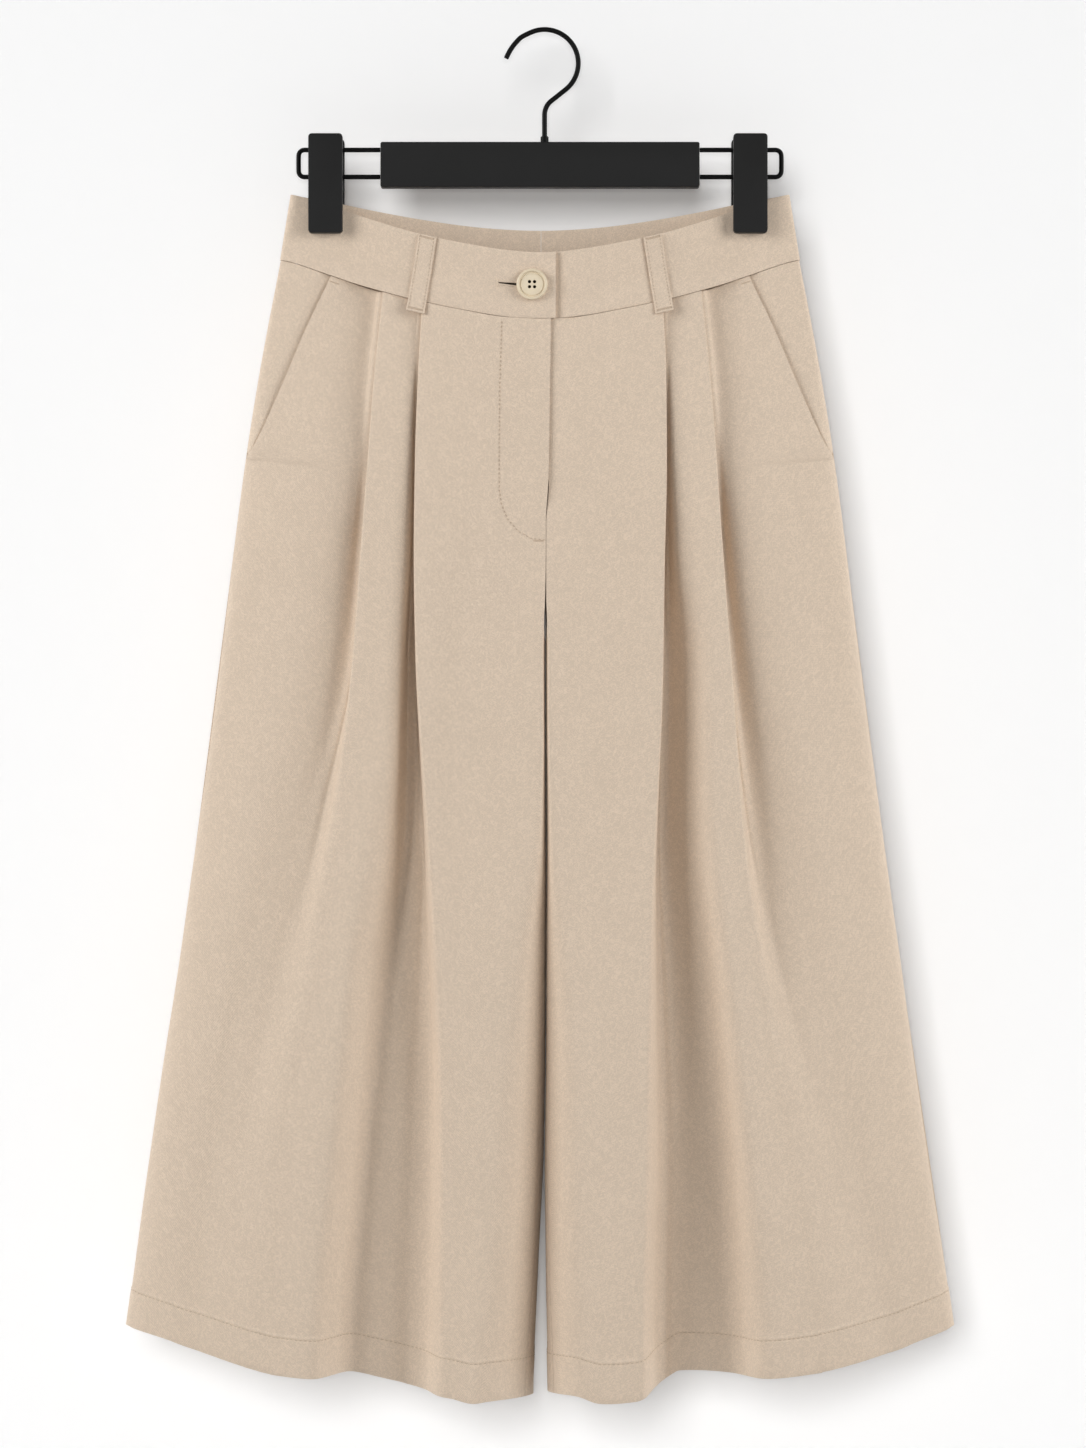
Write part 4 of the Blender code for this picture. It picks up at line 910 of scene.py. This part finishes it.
def bead_vertices(centre, forward, up, length, width):
    """Vertices of many stitches at once.

    Along each stitch t runs from -1 to 1: the thread's radius shrinks as the root of 1 - t
    squared, and its middle line bows up by half a width times 1 - t squared.
    """
    side = np.cross(forward, up)
    round_off = np.sqrt(1 - bead_along ** 2)[:, None]
    t = np.repeat(bead_along[:, None], BEAD_AROUND, axis=1)
    u = 0.5 * width * round_off * np.cos(bead_turn)
    v = 0.5 * width * round_off * np.sin(bead_turn) + 0.5 * width * (1 - t ** 2)
    rings = (centre[:, None, None] + forward[:, None, None] * (t * length / 2)[..., None]
             + side[:, None, None] * u[..., None] + up[:, None, None] * v[..., None])
    ends = centre[:, None] + forward[:, None] * np.array([-0.5, 0.5])[:, None] * length
    return np.concatenate([rings.reshape(len(centre), -1, 3), ends], axis=1)


def sample(points, rows, columns):
    """A grid's points and outward normals at fractional rows and columns, bilinear."""
    outward = -inward_normals(points)
    r = np.clip(np.floor(rows).astype(int), 0, points.shape[0] - 2)
    c = np.clip(np.floor(columns).astype(int), 0, points.shape[1] - 2)
    a, b = (rows - r)[:, None], (columns - c)[:, None]

    def read(values):
        return ((values[r, c] * (1 - b) + values[r, c + 1] * b) * (1 - a)
                + (values[r + 1, c] * (1 - b) + values[r + 1, c + 1] * b) * a)

    return read(points), read(outward)


def find(points, across, drop, near):
    """Fractional rows and columns of places given by across and drop, nearest to column near."""
    rows, columns = [], []
    for x, z in zip(across, drop):
        column = float(near)
        for _ in range(6):
            c = int(np.clip(column, 0, points.shape[1] - 2))
            share = np.clip(column, 0, points.shape[1] - 1) - c
            line = points[:, c] * (1 - share) + points[:, c + 1] * share
            row = np.interp(z, line[:, 2], np.arange(len(line)))
            r = int(min(row, points.shape[0] - 2))
            across_line = points[r] * (1 - row + r) + points[r + 1] * (row - r)
            column = np.interp(x, across_line[:, 0], np.arange(points.shape[1]))
        rows.append(row)
        columns.append(column)
    return np.array(rows), np.array(columns)


seams = []


def sew(line, outward, half, lift, pitch=3.0, length=2.2, width=0.45):
    """Stitches at an even pitch along a line on the cloth, lying lift above its middle surface."""
    steps = np.linalg.norm(np.diff(line, axis=0), axis=-1)
    run = np.concatenate([[0.0], steps.cumsum()])
    at = np.arange(0.5 * pitch, run[-1], pitch)

    def along(shift, values):
        return np.stack([np.interp(at + shift, run, column) for column in values.T], axis=1)

    place, normal, forward = along(0, line), along(0, outward), along(0.4, line) - along(-0.4, line)
    normal /= np.linalg.norm(normal, axis=1, keepdims=True)
    forward /= np.linalg.norm(forward, axis=1, keepdims=True)
    place = place + normal * lift
    tip = to_world(place + forward, half) - to_world(place, half)
    up = to_world(place + normal, half) - to_world(place, half)
    seams.append(bead_vertices(to_world(place, half), tip * 1000, up * 1000,
                               length / 1000, width / 1000))


def join_stitches(name, thread):
    """All the stitches sewn so far, as one mesh of one thread with a UV map in metres."""
    beads = np.concatenate(seams)
    seams.clear()
    count, size = beads.shape[:2]
    shift = (np.arange(count) * size)[:, None, None]
    faces = [face for part in (bead_quads, bead_ends)
             for face in (part + shift).reshape(-1, part.shape[1]).tolist()]
    piece = add_piece(name, beads.reshape(-1, 3), faces, thread)
    uv = piece.data.uv_layers.new(name="cloth").data
    index = np.zeros(len(piece.data.loops), dtype=np.int32)
    piece.data.loops.foreach_get("vertex_index", index)
    flat = beads.reshape(-1, 3)[index]
    uv.foreach_set("uv", np.stack([flat[:, 0], flat[:, 2]], axis=1).ravel())
    return piece


def edge_line(grid, column, inset, first_row=0.0, last_row=None):
    """A line down a grid, inset from its first (column 0) or last (column -1) edge, in mm."""
    last_row = grid.shape[0] - 1.0 if last_row is None else last_row
    rows = np.linspace(first_row, last_row, 60)
    width = np.linalg.norm(np.diff(grid[len(grid) // 2], axis=0), axis=-1).sum()
    columns = inset / width * (grid.shape[1] - 1)
    columns = columns if column == 0 else grid.shape[1] - 1 - columns
    return sample(grid, rows, np.full(60, columns))


for half in HALVES:
    for face in ("front", "back"):
        grid = grids[f"{face}_{half}"]
        row = np.interp(HEM_STITCHES, PANEL_ROWS, np.arange(len(PANEL_ROWS)))
        columns = np.arange(grid.shape[1], dtype=float)
        line, outward = sample(grid, np.full(len(columns), row), columns)
        sew(line, outward, half, 0.5 * CLOTH_WALL + 0.06, pitch=3.2, length=2.3, width=0.46)
join_stitches("hem_stitching", shade_darkened_thread)

# the fly: a line down beside the lapped edge that curves in to its foot
fly_line = table(
    "across  drop",
    (26.4, 204.5), (27.8, 250.0), (28.3, 300.0), (28.2, 322.0), (26.8, 332.0),
    (22.5, 342.5), (15.0, 351.0), (6.0, 356.0), (-3.4, 357.0))
bend = np.linspace(0, 8, 90)
fly_across, fly_drop = (np.interp(bend, np.arange(9), fly_line[key]) for key in ("across", "drop"))
grid = grids["front_right"]
line, outward = sample(grid, *find(grid, fly_across, fly_drop, 20))
sew(line, outward, "right", 0.5 * CLOTH_WALL, pitch=3.0, length=2.0, width=0.46)
join_stitches("fly_stitching", shade_darkened_thread)

for half in HALVES:
    for face in ("front", "back"):
        grid = grids[f"loop_{face}_{half}"]
        lift = 0.5 * LOOP_WALL - 0.05
        if face == "back":
            grid = grid[:, ::-1]
        for column in (0, -1):
            sew(*edge_line(grid, column, 1.6), half, lift + 0.03, pitch=2.6, length=1.8, width=0.36)
        for row in (1.0, 33.6):
            columns = np.linspace(1.2, 10.8, 20)
            for shift in (-0.25, 0.25):
                line, outward = sample(grid, np.full(20, row + shift), columns)
                sew(line, outward, half, lift, pitch=1.1, length=1.3, width=0.42)
join_stitches("belt_loop_stitching", shade_darkened_thread)

for half in HALVES:
    grid = grids[f"front_{half}"]
    across = np.linspace(140.2, 147.0, 20)
    rows, columns = find(grid, across, seam_drop(BAND_FRONT, across) + 4.0, grid.shape[1] - 6)
    line, outward = sample(grid, rows, columns)
    for shift in (0.0, 0.35):
        sew(line + (0, 0, shift), outward, half, 0.5 * CLOTH_WALL, pitch=0.9, length=1.1, width=0.4)
grid = grids["front_right"]
across = np.linspace(-2.6, 4.6, 20)
line, outward = sample(grid, *find(grid, across, np.full(20, 357.4), 4))
for shift in (0.0, 0.5):
    sew(line + (0, 0, shift), outward, "right", 0.5 * CLOTH_WALL, pitch=0.9, length=1.1, width=0.4)
join_stitches("tacks", beige_thread)

for half in HALVES:
    grid = grids[f"band_back_{half}"]
    line, outward = sample(grid, np.full(130, 2.6), np.arange(130.0))
    sew(line, -outward, half, 0.5 * BAND_WALL - 0.05, pitch=2.8, length=2.0, width=0.38)
join_stitches("waistband_facing_stitching", shade_darkened_thread)


# ================================================================ button and buttonhole
# A cream polyester button with a raised double rim and four bored holes, sewn on.  Under it lies
# a near-black disc of painted shade, which shows through the holes.  Its hole in the band is a
# short slit, drawn as a dark strip of painted shade, with stitched edges and a bar tack.
BUTTON_RADIUS, BUTTON_THICKNESS, BUTTON_ACROSS, BUTTON_DROP = 10.8, 3.1, 5.5, 179.7
BORE_RADIUS, BORE_SPREAD = 1.15, 1.75
BUTTON_PROFILE = table(
    "radius  height",
    (-0.20, 0.52), (0.00, 0.52), (0.35, 0.53), (0.62, 0.60), (0.70, 0.68), (0.745, 0.50),
    (0.79, 0.52), (0.83, 0.82), (0.885, 0.99), (0.94, 0.96), (0.985, 0.80), (1.00, 0.60),
    (0.985, 0.40), (0.93, 0.14), (0.84, 0.02), (0.60, 0.00), (0.00, 0.00), (-0.10, 0.00))


def hard_material(name, colour, roughness, spread, grain, depth, specular=0.5):
    """A moulded or coated material: noise on Object coordinates varies its tone and roughness."""
    made, nodes, links, shader = new_material(name, roughness, specular)
    place = nodes.new("ShaderNodeTexCoord")
    fine, broad = nodes.new("ShaderNodeTexNoise"), nodes.new("ShaderNodeTexNoise")
    tone, rough = nodes.new("ShaderNodeMapRange"), nodes.new("ShaderNodeMapRange")
    for texture, scale in ((fine, grain), (broad, 40.0)):
        texture.inputs["Scale"].default_value = scale
        texture.inputs["Detail"].default_value = 3.0
        links.new(place.outputs["Object"], texture.inputs["Vector"])
    for ranged, texture, low, high in ((tone, broad, 0.86, 1.14),
                                       (rough, fine, roughness - spread, roughness + spread)):
        ranged.inputs["To Min"].default_value = low
        ranged.inputs["To Max"].default_value = high
        links.new(texture.outputs["Fac"], ranged.inputs["Value"])
    links.new(rough.outputs["Result"], shader.inputs["Roughness"])
    tint_and_raise(nodes, links, shader, colour, tone.outputs["Result"], fine.outputs["Fac"], depth)
    return made


def closed_mesh(name, vertices, faces, bevels=(), sharp=35):
    """A closed mesh with outward normals, smooth up to an angle of sharp degrees.

    bevels are (which, width, steps): which picks the edges by their direction, from the
    absolute unit vector of each edge.
    """
    mesh = bpy.data.meshes.new(name)
    mesh.from_pydata(np.asarray(vertices).tolist(), [], faces)
    shape = bmesh.new()
    shape.from_mesh(mesh)
    for which, width, steps in bevels:
        bmesh.ops.recalc_face_normals(shape, faces=shape.faces)
        picked = [edge for edge in shape.edges if edge.calc_face_angle(0.0) > 0.6
                  and which(np.abs(np.array(edge.verts[1].co - edge.verts[0].co)) / edge.calc_length())]
        bmesh.ops.bevel(shape, geom=picked, offset=width / 1000.0, segments=steps, profile=0.5,
                        affect="EDGES", clamp_overlap=True)
    bmesh.ops.recalc_face_normals(shape, faces=shape.faces)
    shape.to_mesh(mesh)
    shape.free()
    mesh.shade_smooth()
    mesh.set_sharp_from_angle(angle=math.radians(sharp))
    return mesh


def ring_faces(rings, around):
    """Faces over rings of vertices, closed by single vertices first and last."""
    turn = np.arange(around)
    after = (turn + 1) % around
    starts = 1 + around * np.arange(rings - 1)[:, None]
    quads = np.stack([starts + turn, starts + after, starts + around + after, starts + around + turn],
                     axis=-1).reshape(-1, 4)
    last = 1 + around * (rings - 1)
    fans = np.concatenate([np.stack([0 * turn, 1 + after, 1 + turn], axis=1),
                           np.stack([0 * turn + last + around, last + turn, last + after], axis=1)])
    return quads.tolist() + fans.tolist()


def turned(profile, around):
    """Rings of points: a profile of (radius, height) rows turned round the Z axis."""
    radius, height = np.array(profile, float).T
    angle = np.arange(around) * 2 * math.pi / around
    return np.stack([np.outer(radius, np.cos(angle)), np.outer(radius, np.sin(angle)),
                     np.repeat(height[:, None], around, axis=1)], axis=-1).reshape(-1, 3)


def turned_solid(name, profile, around):
    """A closed solid of revolution, whose profile in metres starts and ends on the axis."""
    points = np.vstack([(0, 0, profile[0, 1]), turned(profile[1:-1], around), (0, 0, profile[-1, 1])])
    return closed_mesh(name, points, ring_faces(len(profile) - 2, around))


def bored_button():
    """The turned disc with its four holes cut through by cylinders."""
    line = station(BUTTON_PROFILE["radius"], BUTTON_PROFILE["height"], 0.0)[None]
    line = spline(line, np.linspace(1, len(BUTTON_PROFILE["radius"]) - 2, 76)[None])[0]
    disc = turned_solid("button", line[:, :2] * (BUTTON_RADIUS, BUTTON_THICKNESS) / 1000.0, 96)
    bores = bpy.data.meshes.new("bores")
    shape = bmesh.new()
    for x, y in ((1, 1), (1, -1), (-1, 1), (-1, -1)):
        made = bmesh.ops.create_cone(shape, cap_ends=True, segments=28, depth=0.02,
                                     radius1=BORE_RADIUS / 1000.0, radius2=BORE_RADIUS / 1000.0)
        bmesh.ops.translate(shape, verts=made["verts"],
                            vec=(x * BORE_SPREAD / 1000.0, y * BORE_SPREAD / 1000.0, 0.0))
    shape.to_mesh(bores)
    shape.free()
    solid, cutter = bpy.data.objects.new("uncut", disc), bpy.data.objects.new("cutter", bores)
    for made in (solid, cutter):
        bpy.context.scene.collection.objects.link(made)
    solid.modifiers.new("bores", "BOOLEAN").object = cutter
    cut = bpy.data.meshes.new_from_object(solid.evaluated_get(bpy.context.evaluated_depsgraph_get()))
    for made in (solid, cutter):
        bpy.data.objects.remove(made, do_unlink=True)
    cut.materials.clear()
    return cut


def on_band(mesh, lift):
    """Stand a mesh that was made flat on the band's face, its Z axis to the front."""
    turn = np.zeros(3 * len(mesh.vertices))
    mesh.vertices.foreach_get("co", turn)
    x, y, z = turn.reshape(-1, 3).T
    front = (BAND_FRONT["low_forward"][0] - 0.2 + 0.5 * BAND_WALL + lift) / 1000.0
    stood = np.stack([x + (MIDDLE_X - BUTTON_ACROSS) / 1000.0, -front - z, y - BUTTON_DROP / 1000.0],
                     axis=1)
    mesh.vertices.foreach_set("co", stood.ravel())
    return mesh


cream = hard_material("cream polyester", (0.80, 0.685, 0.505), 0.32, 0.05, 900.0, 0.00001)
# near-black painted shade, for the shade seen through the button's holes and in the buttonhole's slit
painted_shade_black = hard_material("painted shade black", (0.020, 0.014, 0.009), 0.85, 0.05, 3000.0, 0.00005,
                             specular=0.1)
add_mesh("button_disc", on_band(bored_button(), 0.3), cream, "button")
# a near-black disc under the button: painted shade that shows through its four holes
shade_disc_profile = np.array([(0.0, 0.27), (3.3, 0.27), (3.7, 0.20), (3.7, 0.0), (0.0, 0.0)]) / 1000.0
add_mesh("button_hole_painted_shade", on_band(turned_solid("button_hole_painted_shade", shade_disc_profile, 32), 0.02),
         painted_shade_black)

# the slit of the buttonhole: a near-black strip of painted shade for the shadow in the opening,
# wider at the button, between two stitched edges
grid = grids["band_front_right"]
SLIT, SLIT_DROP, SLIT_HALF_WIDTH, STITCH_REACH = (15.6, 28.6), (179.6, 178.3), (0.85, 0.30), 1.35
slit_across = np.linspace(*SLIT[::-1], 30)
slit_drop = np.interp(slit_across, SLIT, SLIT_DROP)
spread = np.interp(slit_across, SLIT, SLIT_HALF_WIDTH)
edges = {}
for side in (-1, 1):
    near, outward = sample(grid, *find(grid, slit_across, slit_drop + side * spread, 40))
    far, _ = sample(grid, *find(grid, slit_across, slit_drop + side * (spread + STITCH_REACH), 40))
    sewn = to_world(0.5 * (near + far) + outward * (0.5 * BAND_WALL - 0.04), "right")
    ahead, up = (to_world(sewn * 0 + step, "right") - to_world(sewn * 0, "right")
                 for step in (far - near, outward))
    ahead /= np.linalg.norm(ahead, axis=1, keepdims=True)
    seams.append(bead_vertices(sewn, ahead, up * 1000, 0.0016, 0.00052))
    edges[side] = [to_world(near + outward * (0.5 * BAND_WALL + lift), "right")
                   for lift in (-0.2, 0.07)]
tack_drop = np.linspace(175.6, 181.1, 14)
middle, outward = sample(grid, *find(grid, np.full(14, 29.5), tack_drop, 40))
tack = to_world(middle + outward * (0.5 * BAND_WALL - 0.02), "right")
up = (to_world(outward, "right") - to_world(0 * outward, "right")) * 1000
seams.append(bead_vertices(tack, np.tile((1.0, 0.0, 0.0), (14, 1)), up, 0.0018, 0.00050))
pale_thread = woven_material("pale thread", (0.76, 0.64, 0.51), 0.7,
                             {"Twill": 0.9, "Nap": 0.0, "Mottle": 0.10}, 0.00003)
join_stitches("buttonhole_stitching", pale_thread)
# the strip that paints the slit's shade, between the two stitched edges
corners = np.stack([edges[-1][0], edges[-1][1], edges[1][1], edges[1][0]], axis=1).reshape(-1, 3)
index = np.arange(len(corners)).reshape(-1, 4)
ahead, behind = index[1:], index[:-1]
sides = np.stack([behind, ahead, np.roll(ahead, -1, axis=1), np.roll(behind, -1, axis=1)], axis=-1)
faces = sides.reshape(-1, 4).tolist() + [index[0].tolist(), index[-1, ::-1].tolist()]
add_mesh("buttonhole_slit_painted_shade", closed_mesh("buttonhole_slit_painted_shade", corners, faces), painted_shade_black)


# ================================================================ clip hanger
# A moulded black bar, a bent and coated steel hook with its collar, two wire loops out of the
# bar's ends, and on each loop a clip of two moulded jaws.  The bar is bare.
black_plastic = hard_material("matt black plastic", (0.0095, 0.0095, 0.0095), 0.50, 0.08, 2600.0,
                              0.00002, specular=0.28)
black_wire = hard_material("black coated wire", (0.0045, 0.0045, 0.0045), 0.50, 0.06, 1500.0,
                           0.00001, specular=0.12)
BAR_LENGTH, BAR_DEPTH, BAR_TOP, BAR_HEIGHT = 223.0, 13.0, 77.7, 31.4
HOOK_WIRE, HOOK_RADIUS, STEM_X, COLLAR_RADIUS, COLLAR_HEIGHT = 1.75, 23.6, 1.1, 2.8, 4.4
LOOP_WIRE, LOOP_OUT, LOOP_UP, LOOP_DOWN, LOOP_BEND = 1.65, 168.9, 82.6, 101.5, 4.0
JAW_WIDTH, JAW_UP, JAW_DOWN, JAW_STEP, JAW_FACE = 23.8, 72.2, 141.6, 113.0, 10.5
CLIP_MIDDLE = {"right": 149.8, "left": 146.9}


def along_y(direction):
    """True for an edge that runs from front to back."""
    return direction[1] > 0.99


def any_way(direction):
    """True for every edge."""
    return True


def add_block(name, profile, x, width, corner, edge, node):
    """A moulded block: a profile of (y, z) corners swept along X, its corners and edges rounded."""
    corners, count = np.array(profile, float), len(profile)
    vertices = np.concatenate([np.column_stack([np.full(count, x + side * width / 2), corners])
                               for side in (-1, 1)]) / 1000.0
    ahead = (np.arange(count) + 1) % count
    sides = np.stack([np.arange(count), ahead, ahead + count, np.arange(count) + count], axis=1)
    faces = sides.tolist() + [list(range(count)), list(range(2 * count - 1, count - 1, -1))]
    mesh = closed_mesh(name, vertices, faces, ((along_y, corner, 5), (any_way, edge, 3)), 50)
    return add_mesh(name, mesh, black_plastic, node)


def add_wire(name, path, radius, node, step=0.8, around=20):
    """A round wire along a path in the XZ plane, in millimetres, with slightly rounded ends.

    The radius falls as the root of 1 - t squared over the last 0.35 mm at both ends.
    """
    path = np.array(path, float)
    reach = np.concatenate([2 * path[:1] - path[1:2], path, 2 * path[-1:] - path[-2:-1]])
    line = station(reach[:, 0], 0.0, reach[:, 1])[None]
    line = spline(line, np.linspace(1, len(path), 40 * len(path))[None])[0][:, ::2]
    run = np.concatenate([[0.0], np.linalg.norm(np.diff(line, axis=0), axis=1).cumsum()])
    short = np.array((0.01, 0.05, 0.15, 0.35))
    at = np.concatenate([short, np.linspace(0.8, run[-1] - 0.8, int(run[-1] / step)),
                         run[-1] - short[::-1]])
    middle = np.stack([np.interp(at, run, line[:, i]) for i in (0, 1)], axis=1)
    ahead = np.gradient(middle, axis=0)
    ahead /= np.linalg.norm(ahead, axis=1, keepdims=True)
    t = 1 - np.clip(np.minimum(at, run[-1] - at) / 0.35, 0, 1)
    size = radius - 0.35 * (1 - np.sqrt(1 - t ** 2))
    turn = np.arange(around) * 2 * math.pi / around
    out = np.stack([-ahead[:, 1], 0 * at, ahead[:, 0]], axis=1)
    rings = (station(middle[:, 0], 0.0, middle[:, 1])[:, None] + size[:, None, None] * (
        out[:, None] * np.cos(turn)[:, None] + np.array((0, 1, 0)) * np.sin(turn)[:, None]))
    ends = station(line[[0, -1], 0], 0.0, line[[0, -1], 1])
    vertices = np.vstack([ends[:1], rings.reshape(-1, 3), ends[1:]]) * (1, 1, -1) / 1000.0
    mesh = closed_mesh(name, vertices, ring_faces(len(at), around))
    return add_mesh(name, mesh, black_wire, node)


half_depth, bar_low = BAR_DEPTH / 2, BAR_TOP + BAR_HEIGHT
add_block("hanger_bar_block", [(-half_depth, -BAR_TOP), (half_depth, -BAR_TOP),
                               (half_depth, -bar_low), (-half_depth, -bar_low)],
          MIDDLE_X, BAR_LENGTH, 1.4, 0.55, "hanger_bar")

# the hook in (x, drop): the stem, a soft bend, the round arc over the rail and the tip
turn = np.radians(np.arange(-45.0, 116.0, 10.0))
arc = np.stack([HOOK_RADIUS * np.cos(turn), HOOK_RADIUS * (1 - np.sin(turn)) - HOOK_WIRE], axis=1)
stem = ((0, 77.1), (0, 72), (0, 66), (0, 61), (0.3, 55.3), (2.6, 50.3), (8.2, 45.5))
tip = ((-16.6, 3.9), (-19.6, 6.9), (-22.2, 10.0), (-24.4, 13.4), (-27.0, 18.5))
add_wire("hanger_hook_wire", np.concatenate([stem, arc, tip]) + (STEM_X, 0), HOOK_WIRE, "hanger_hook")

collar_out, collar_in, low = COLLAR_RADIUS, HOOK_WIRE + 0.2, BAR_TOP - 0.25
collar = np.array([(collar_in, low), (collar_out - 0.3, low), (collar_out, low - 0.3),
                   (collar_out, low - COLLAR_HEIGHT + 0.6), (collar_out - 0.5, low - COLLAR_HEIGHT + 0.1),
                   (collar_in + 0.1, low - COLLAR_HEIGHT)])
rings = (turned(collar * (1, -1), 40) + (STEM_X, 0, 0)) / 1000.0
index = np.arange(len(rings)).reshape(len(collar), 40)
ahead, after = np.roll(index, -1, axis=0), np.roll(index, -1, axis=1)
faces = np.stack([index, after, np.roll(ahead, -1, axis=1), ahead], axis=-1).reshape(-1, 4).tolist()
add_mesh("hanger_collar_ring", closed_mesh("hanger_collar_ring", rings, faces), black_wire,
         "hanger_collar")

for half, side in HALVES.items():
    start = BAR_LENGTH / 2 + 0.3
    quarter = np.radians(np.linspace(90, 0, 7))
    upper = np.stack([LOOP_OUT - LOOP_BEND + LOOP_BEND * np.cos(quarter),
                      LOOP_UP + LOOP_BEND - LOOP_BEND * np.sin(quarter)], axis=1)
    lower = np.stack([upper[::-1, 0], LOOP_UP + LOOP_DOWN - upper[::-1, 1]], axis=1)
    straight = np.linspace(start, LOOP_OUT - LOOP_BEND - 2.0, 8)
    path = np.concatenate([np.column_stack([straight, np.full(8, LOOP_UP)]), upper, lower,
                           np.column_stack([straight[::-1], np.full(8, LOOP_DOWN)])])
    add_wire(f"hanger_loop_wire_{half}", path * (side, 1) + (MIDDLE_X, 0), LOOP_WIRE,
             f"hanger_loop_{half}")
    held = BAND_FRONT["top_forward"][7] + 0.5 * BAND_WALL + 0.25
    for face, out, trim, inward in (("front", -1, 0.0, 0.0), ("back", 1, 2.5, 0.8)):
        wire_side = LOOP_WIRE + 0.25
        top, bottom = -JAW_UP - trim, -JAW_DOWN + trim
        profile = [(out * y, z) for y, z in (
            (wire_side, top), (JAW_FACE, top), (JAW_FACE, bottom), (held, bottom),
            (held, -JAW_STEP), (wire_side, -JAW_STEP))]
        add_block(f"clip_{face}_jaw_{half}", profile, MIDDLE_X + side * (CLIP_MIDDLE[half] - inward),
                  JAW_WIDTH, 2.4, 0.5, f"clip_{face}_{half}")


# ================================================================ stage, light and camera
# A pale floor below, a pale backdrop close behind that only shows from the front, soft studio
# lights, and the camera straight in front at the height of the shorts' middle.
def stage_material(name, colour, one_sided=False):
    """A matt paper, which from behind lets everything through if it is one-sided."""
    made, nodes, links, shader = new_material(name, 1.0, 0.0)
    shader.inputs["Base Color"].default_value = (*colour, 1.0)
    if one_sided:
        clear, mix, side = (nodes.new(kind) for kind in (
            "ShaderNodeBsdfTransparent", "ShaderNodeMixShader", "ShaderNodeNewGeometry"))
        links.new(side.outputs["Backfacing"], mix.inputs["Fac"])
        links.new(shader.outputs["BSDF"], mix.inputs[1])
        links.new(clear.outputs["BSDF"], mix.inputs[2])
        links.new(mix.outputs["Shader"], nodes["Material Output"].inputs["Surface"])
    return made


def add_stage(name, corners, material):
    """A flat stage sheet through four corners in metres."""
    mesh = bpy.data.meshes.new(name)
    mesh.from_pydata(corners, [], [(0, 1, 2, 3)])
    mesh.materials.append(material)
    sheet = bpy.data.objects.new(name, mesh)
    bpy.context.scene.collection.objects.link(sheet)
    sheet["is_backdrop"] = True
    return sheet


FLOOR_Z, BACKDROP_Y = -1.30, 0.075
floor = add_stage("floor", [(-4, -4, FLOOR_Z), (4, -4, FLOOR_Z), (4, 4, FLOOR_Z), (-4, 4, FLOOR_Z)],
                  stage_material("floor paper", (0.90, 0.90, 0.90)))
backdrop = add_stage("backdrop", [(-1.6, BACKDROP_Y, FLOOR_Z), (1.6, BACKDROP_Y, FLOOR_Z),
                                  (1.6, BACKDROP_Y, 0.7), (-1.6, BACKDROP_Y, 0.7)],
                     stage_material("backdrop paper", (0.97, 0.97, 0.97), one_sided=True))


def add_light(name, place, target, size, power, lit):
    """A square soft light at place, turned to target, that lights only the objects in lit."""
    lamp = bpy.data.lights.new(name, "AREA")
    lamp.shape = "SQUARE"
    lamp.size, lamp.energy = size, power
    made = bpy.data.objects.new(name, lamp)
    made.location = place
    aim = np.array(target, float) - np.array(place, float)
    made.rotation_euler = (math.atan2(math.hypot(aim[0], aim[1]), -aim[2]), 0.0,
                           math.atan2(aim[1], aim[0]) - math.pi / 2)
    made.light_linking.receiver_collection = lit
    bpy.context.scene.collection.objects.link(made)


cloth_side, stage_side = (bpy.data.collections.new(name) for name in ("shorts and hanger", "stage"))
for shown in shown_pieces():
    cloth_side.objects.link(shown)
for paper in (floor, backdrop):
    stage_side.objects.link(paper)
add_light("softbox_left", (-2.6, -1.4, 0.5), (0.0, 0.0, -0.5), 1.8, 70.0, cloth_side)
add_light("softbox_right", (2.6, -1.4, 0.4), (0.0, 0.0, -0.5), 1.8, 64.0, cloth_side)
add_light("front_fill", (0.1, -3.3, 0.0), (0.0, 0.0, -0.5), 0.8, 8.0, cloth_side)
add_light("backdrop_front", (0.0, -3.4, -0.4844), (0.0, 0.0, -0.4844), 0.25, 24.0, stage_side)
add_light("backdrop_left", (-2.0, -12.0, 1.9), (0.0, 0.0, -0.5), 4.6, 900.0, stage_side)
studio = bpy.data.worlds.new("studio")
studio.use_nodes = True
studio.node_tree.nodes["Background"].inputs["Color"].default_value = (1.0, 1.0, 1.0, 1.0)
studio.node_tree.nodes["Background"].inputs["Strength"].default_value = 0.10
bpy.context.scene.world = studio
bpy.context.scene.view_settings.view_transform = "Standard"

lens = bpy.data.cameras.new("camera")
lens.lens, lens.sensor_width = 106.55, 36.0
camera = bpy.data.objects.new("camera", lens)
camera.location = (0.0, -3.0, -0.4844)
camera.rotation_euler = (math.radians(90), 0.0, 0.0)
bpy.context.scene.collection.objects.link(camera)
bpy.context.scene.camera = camera
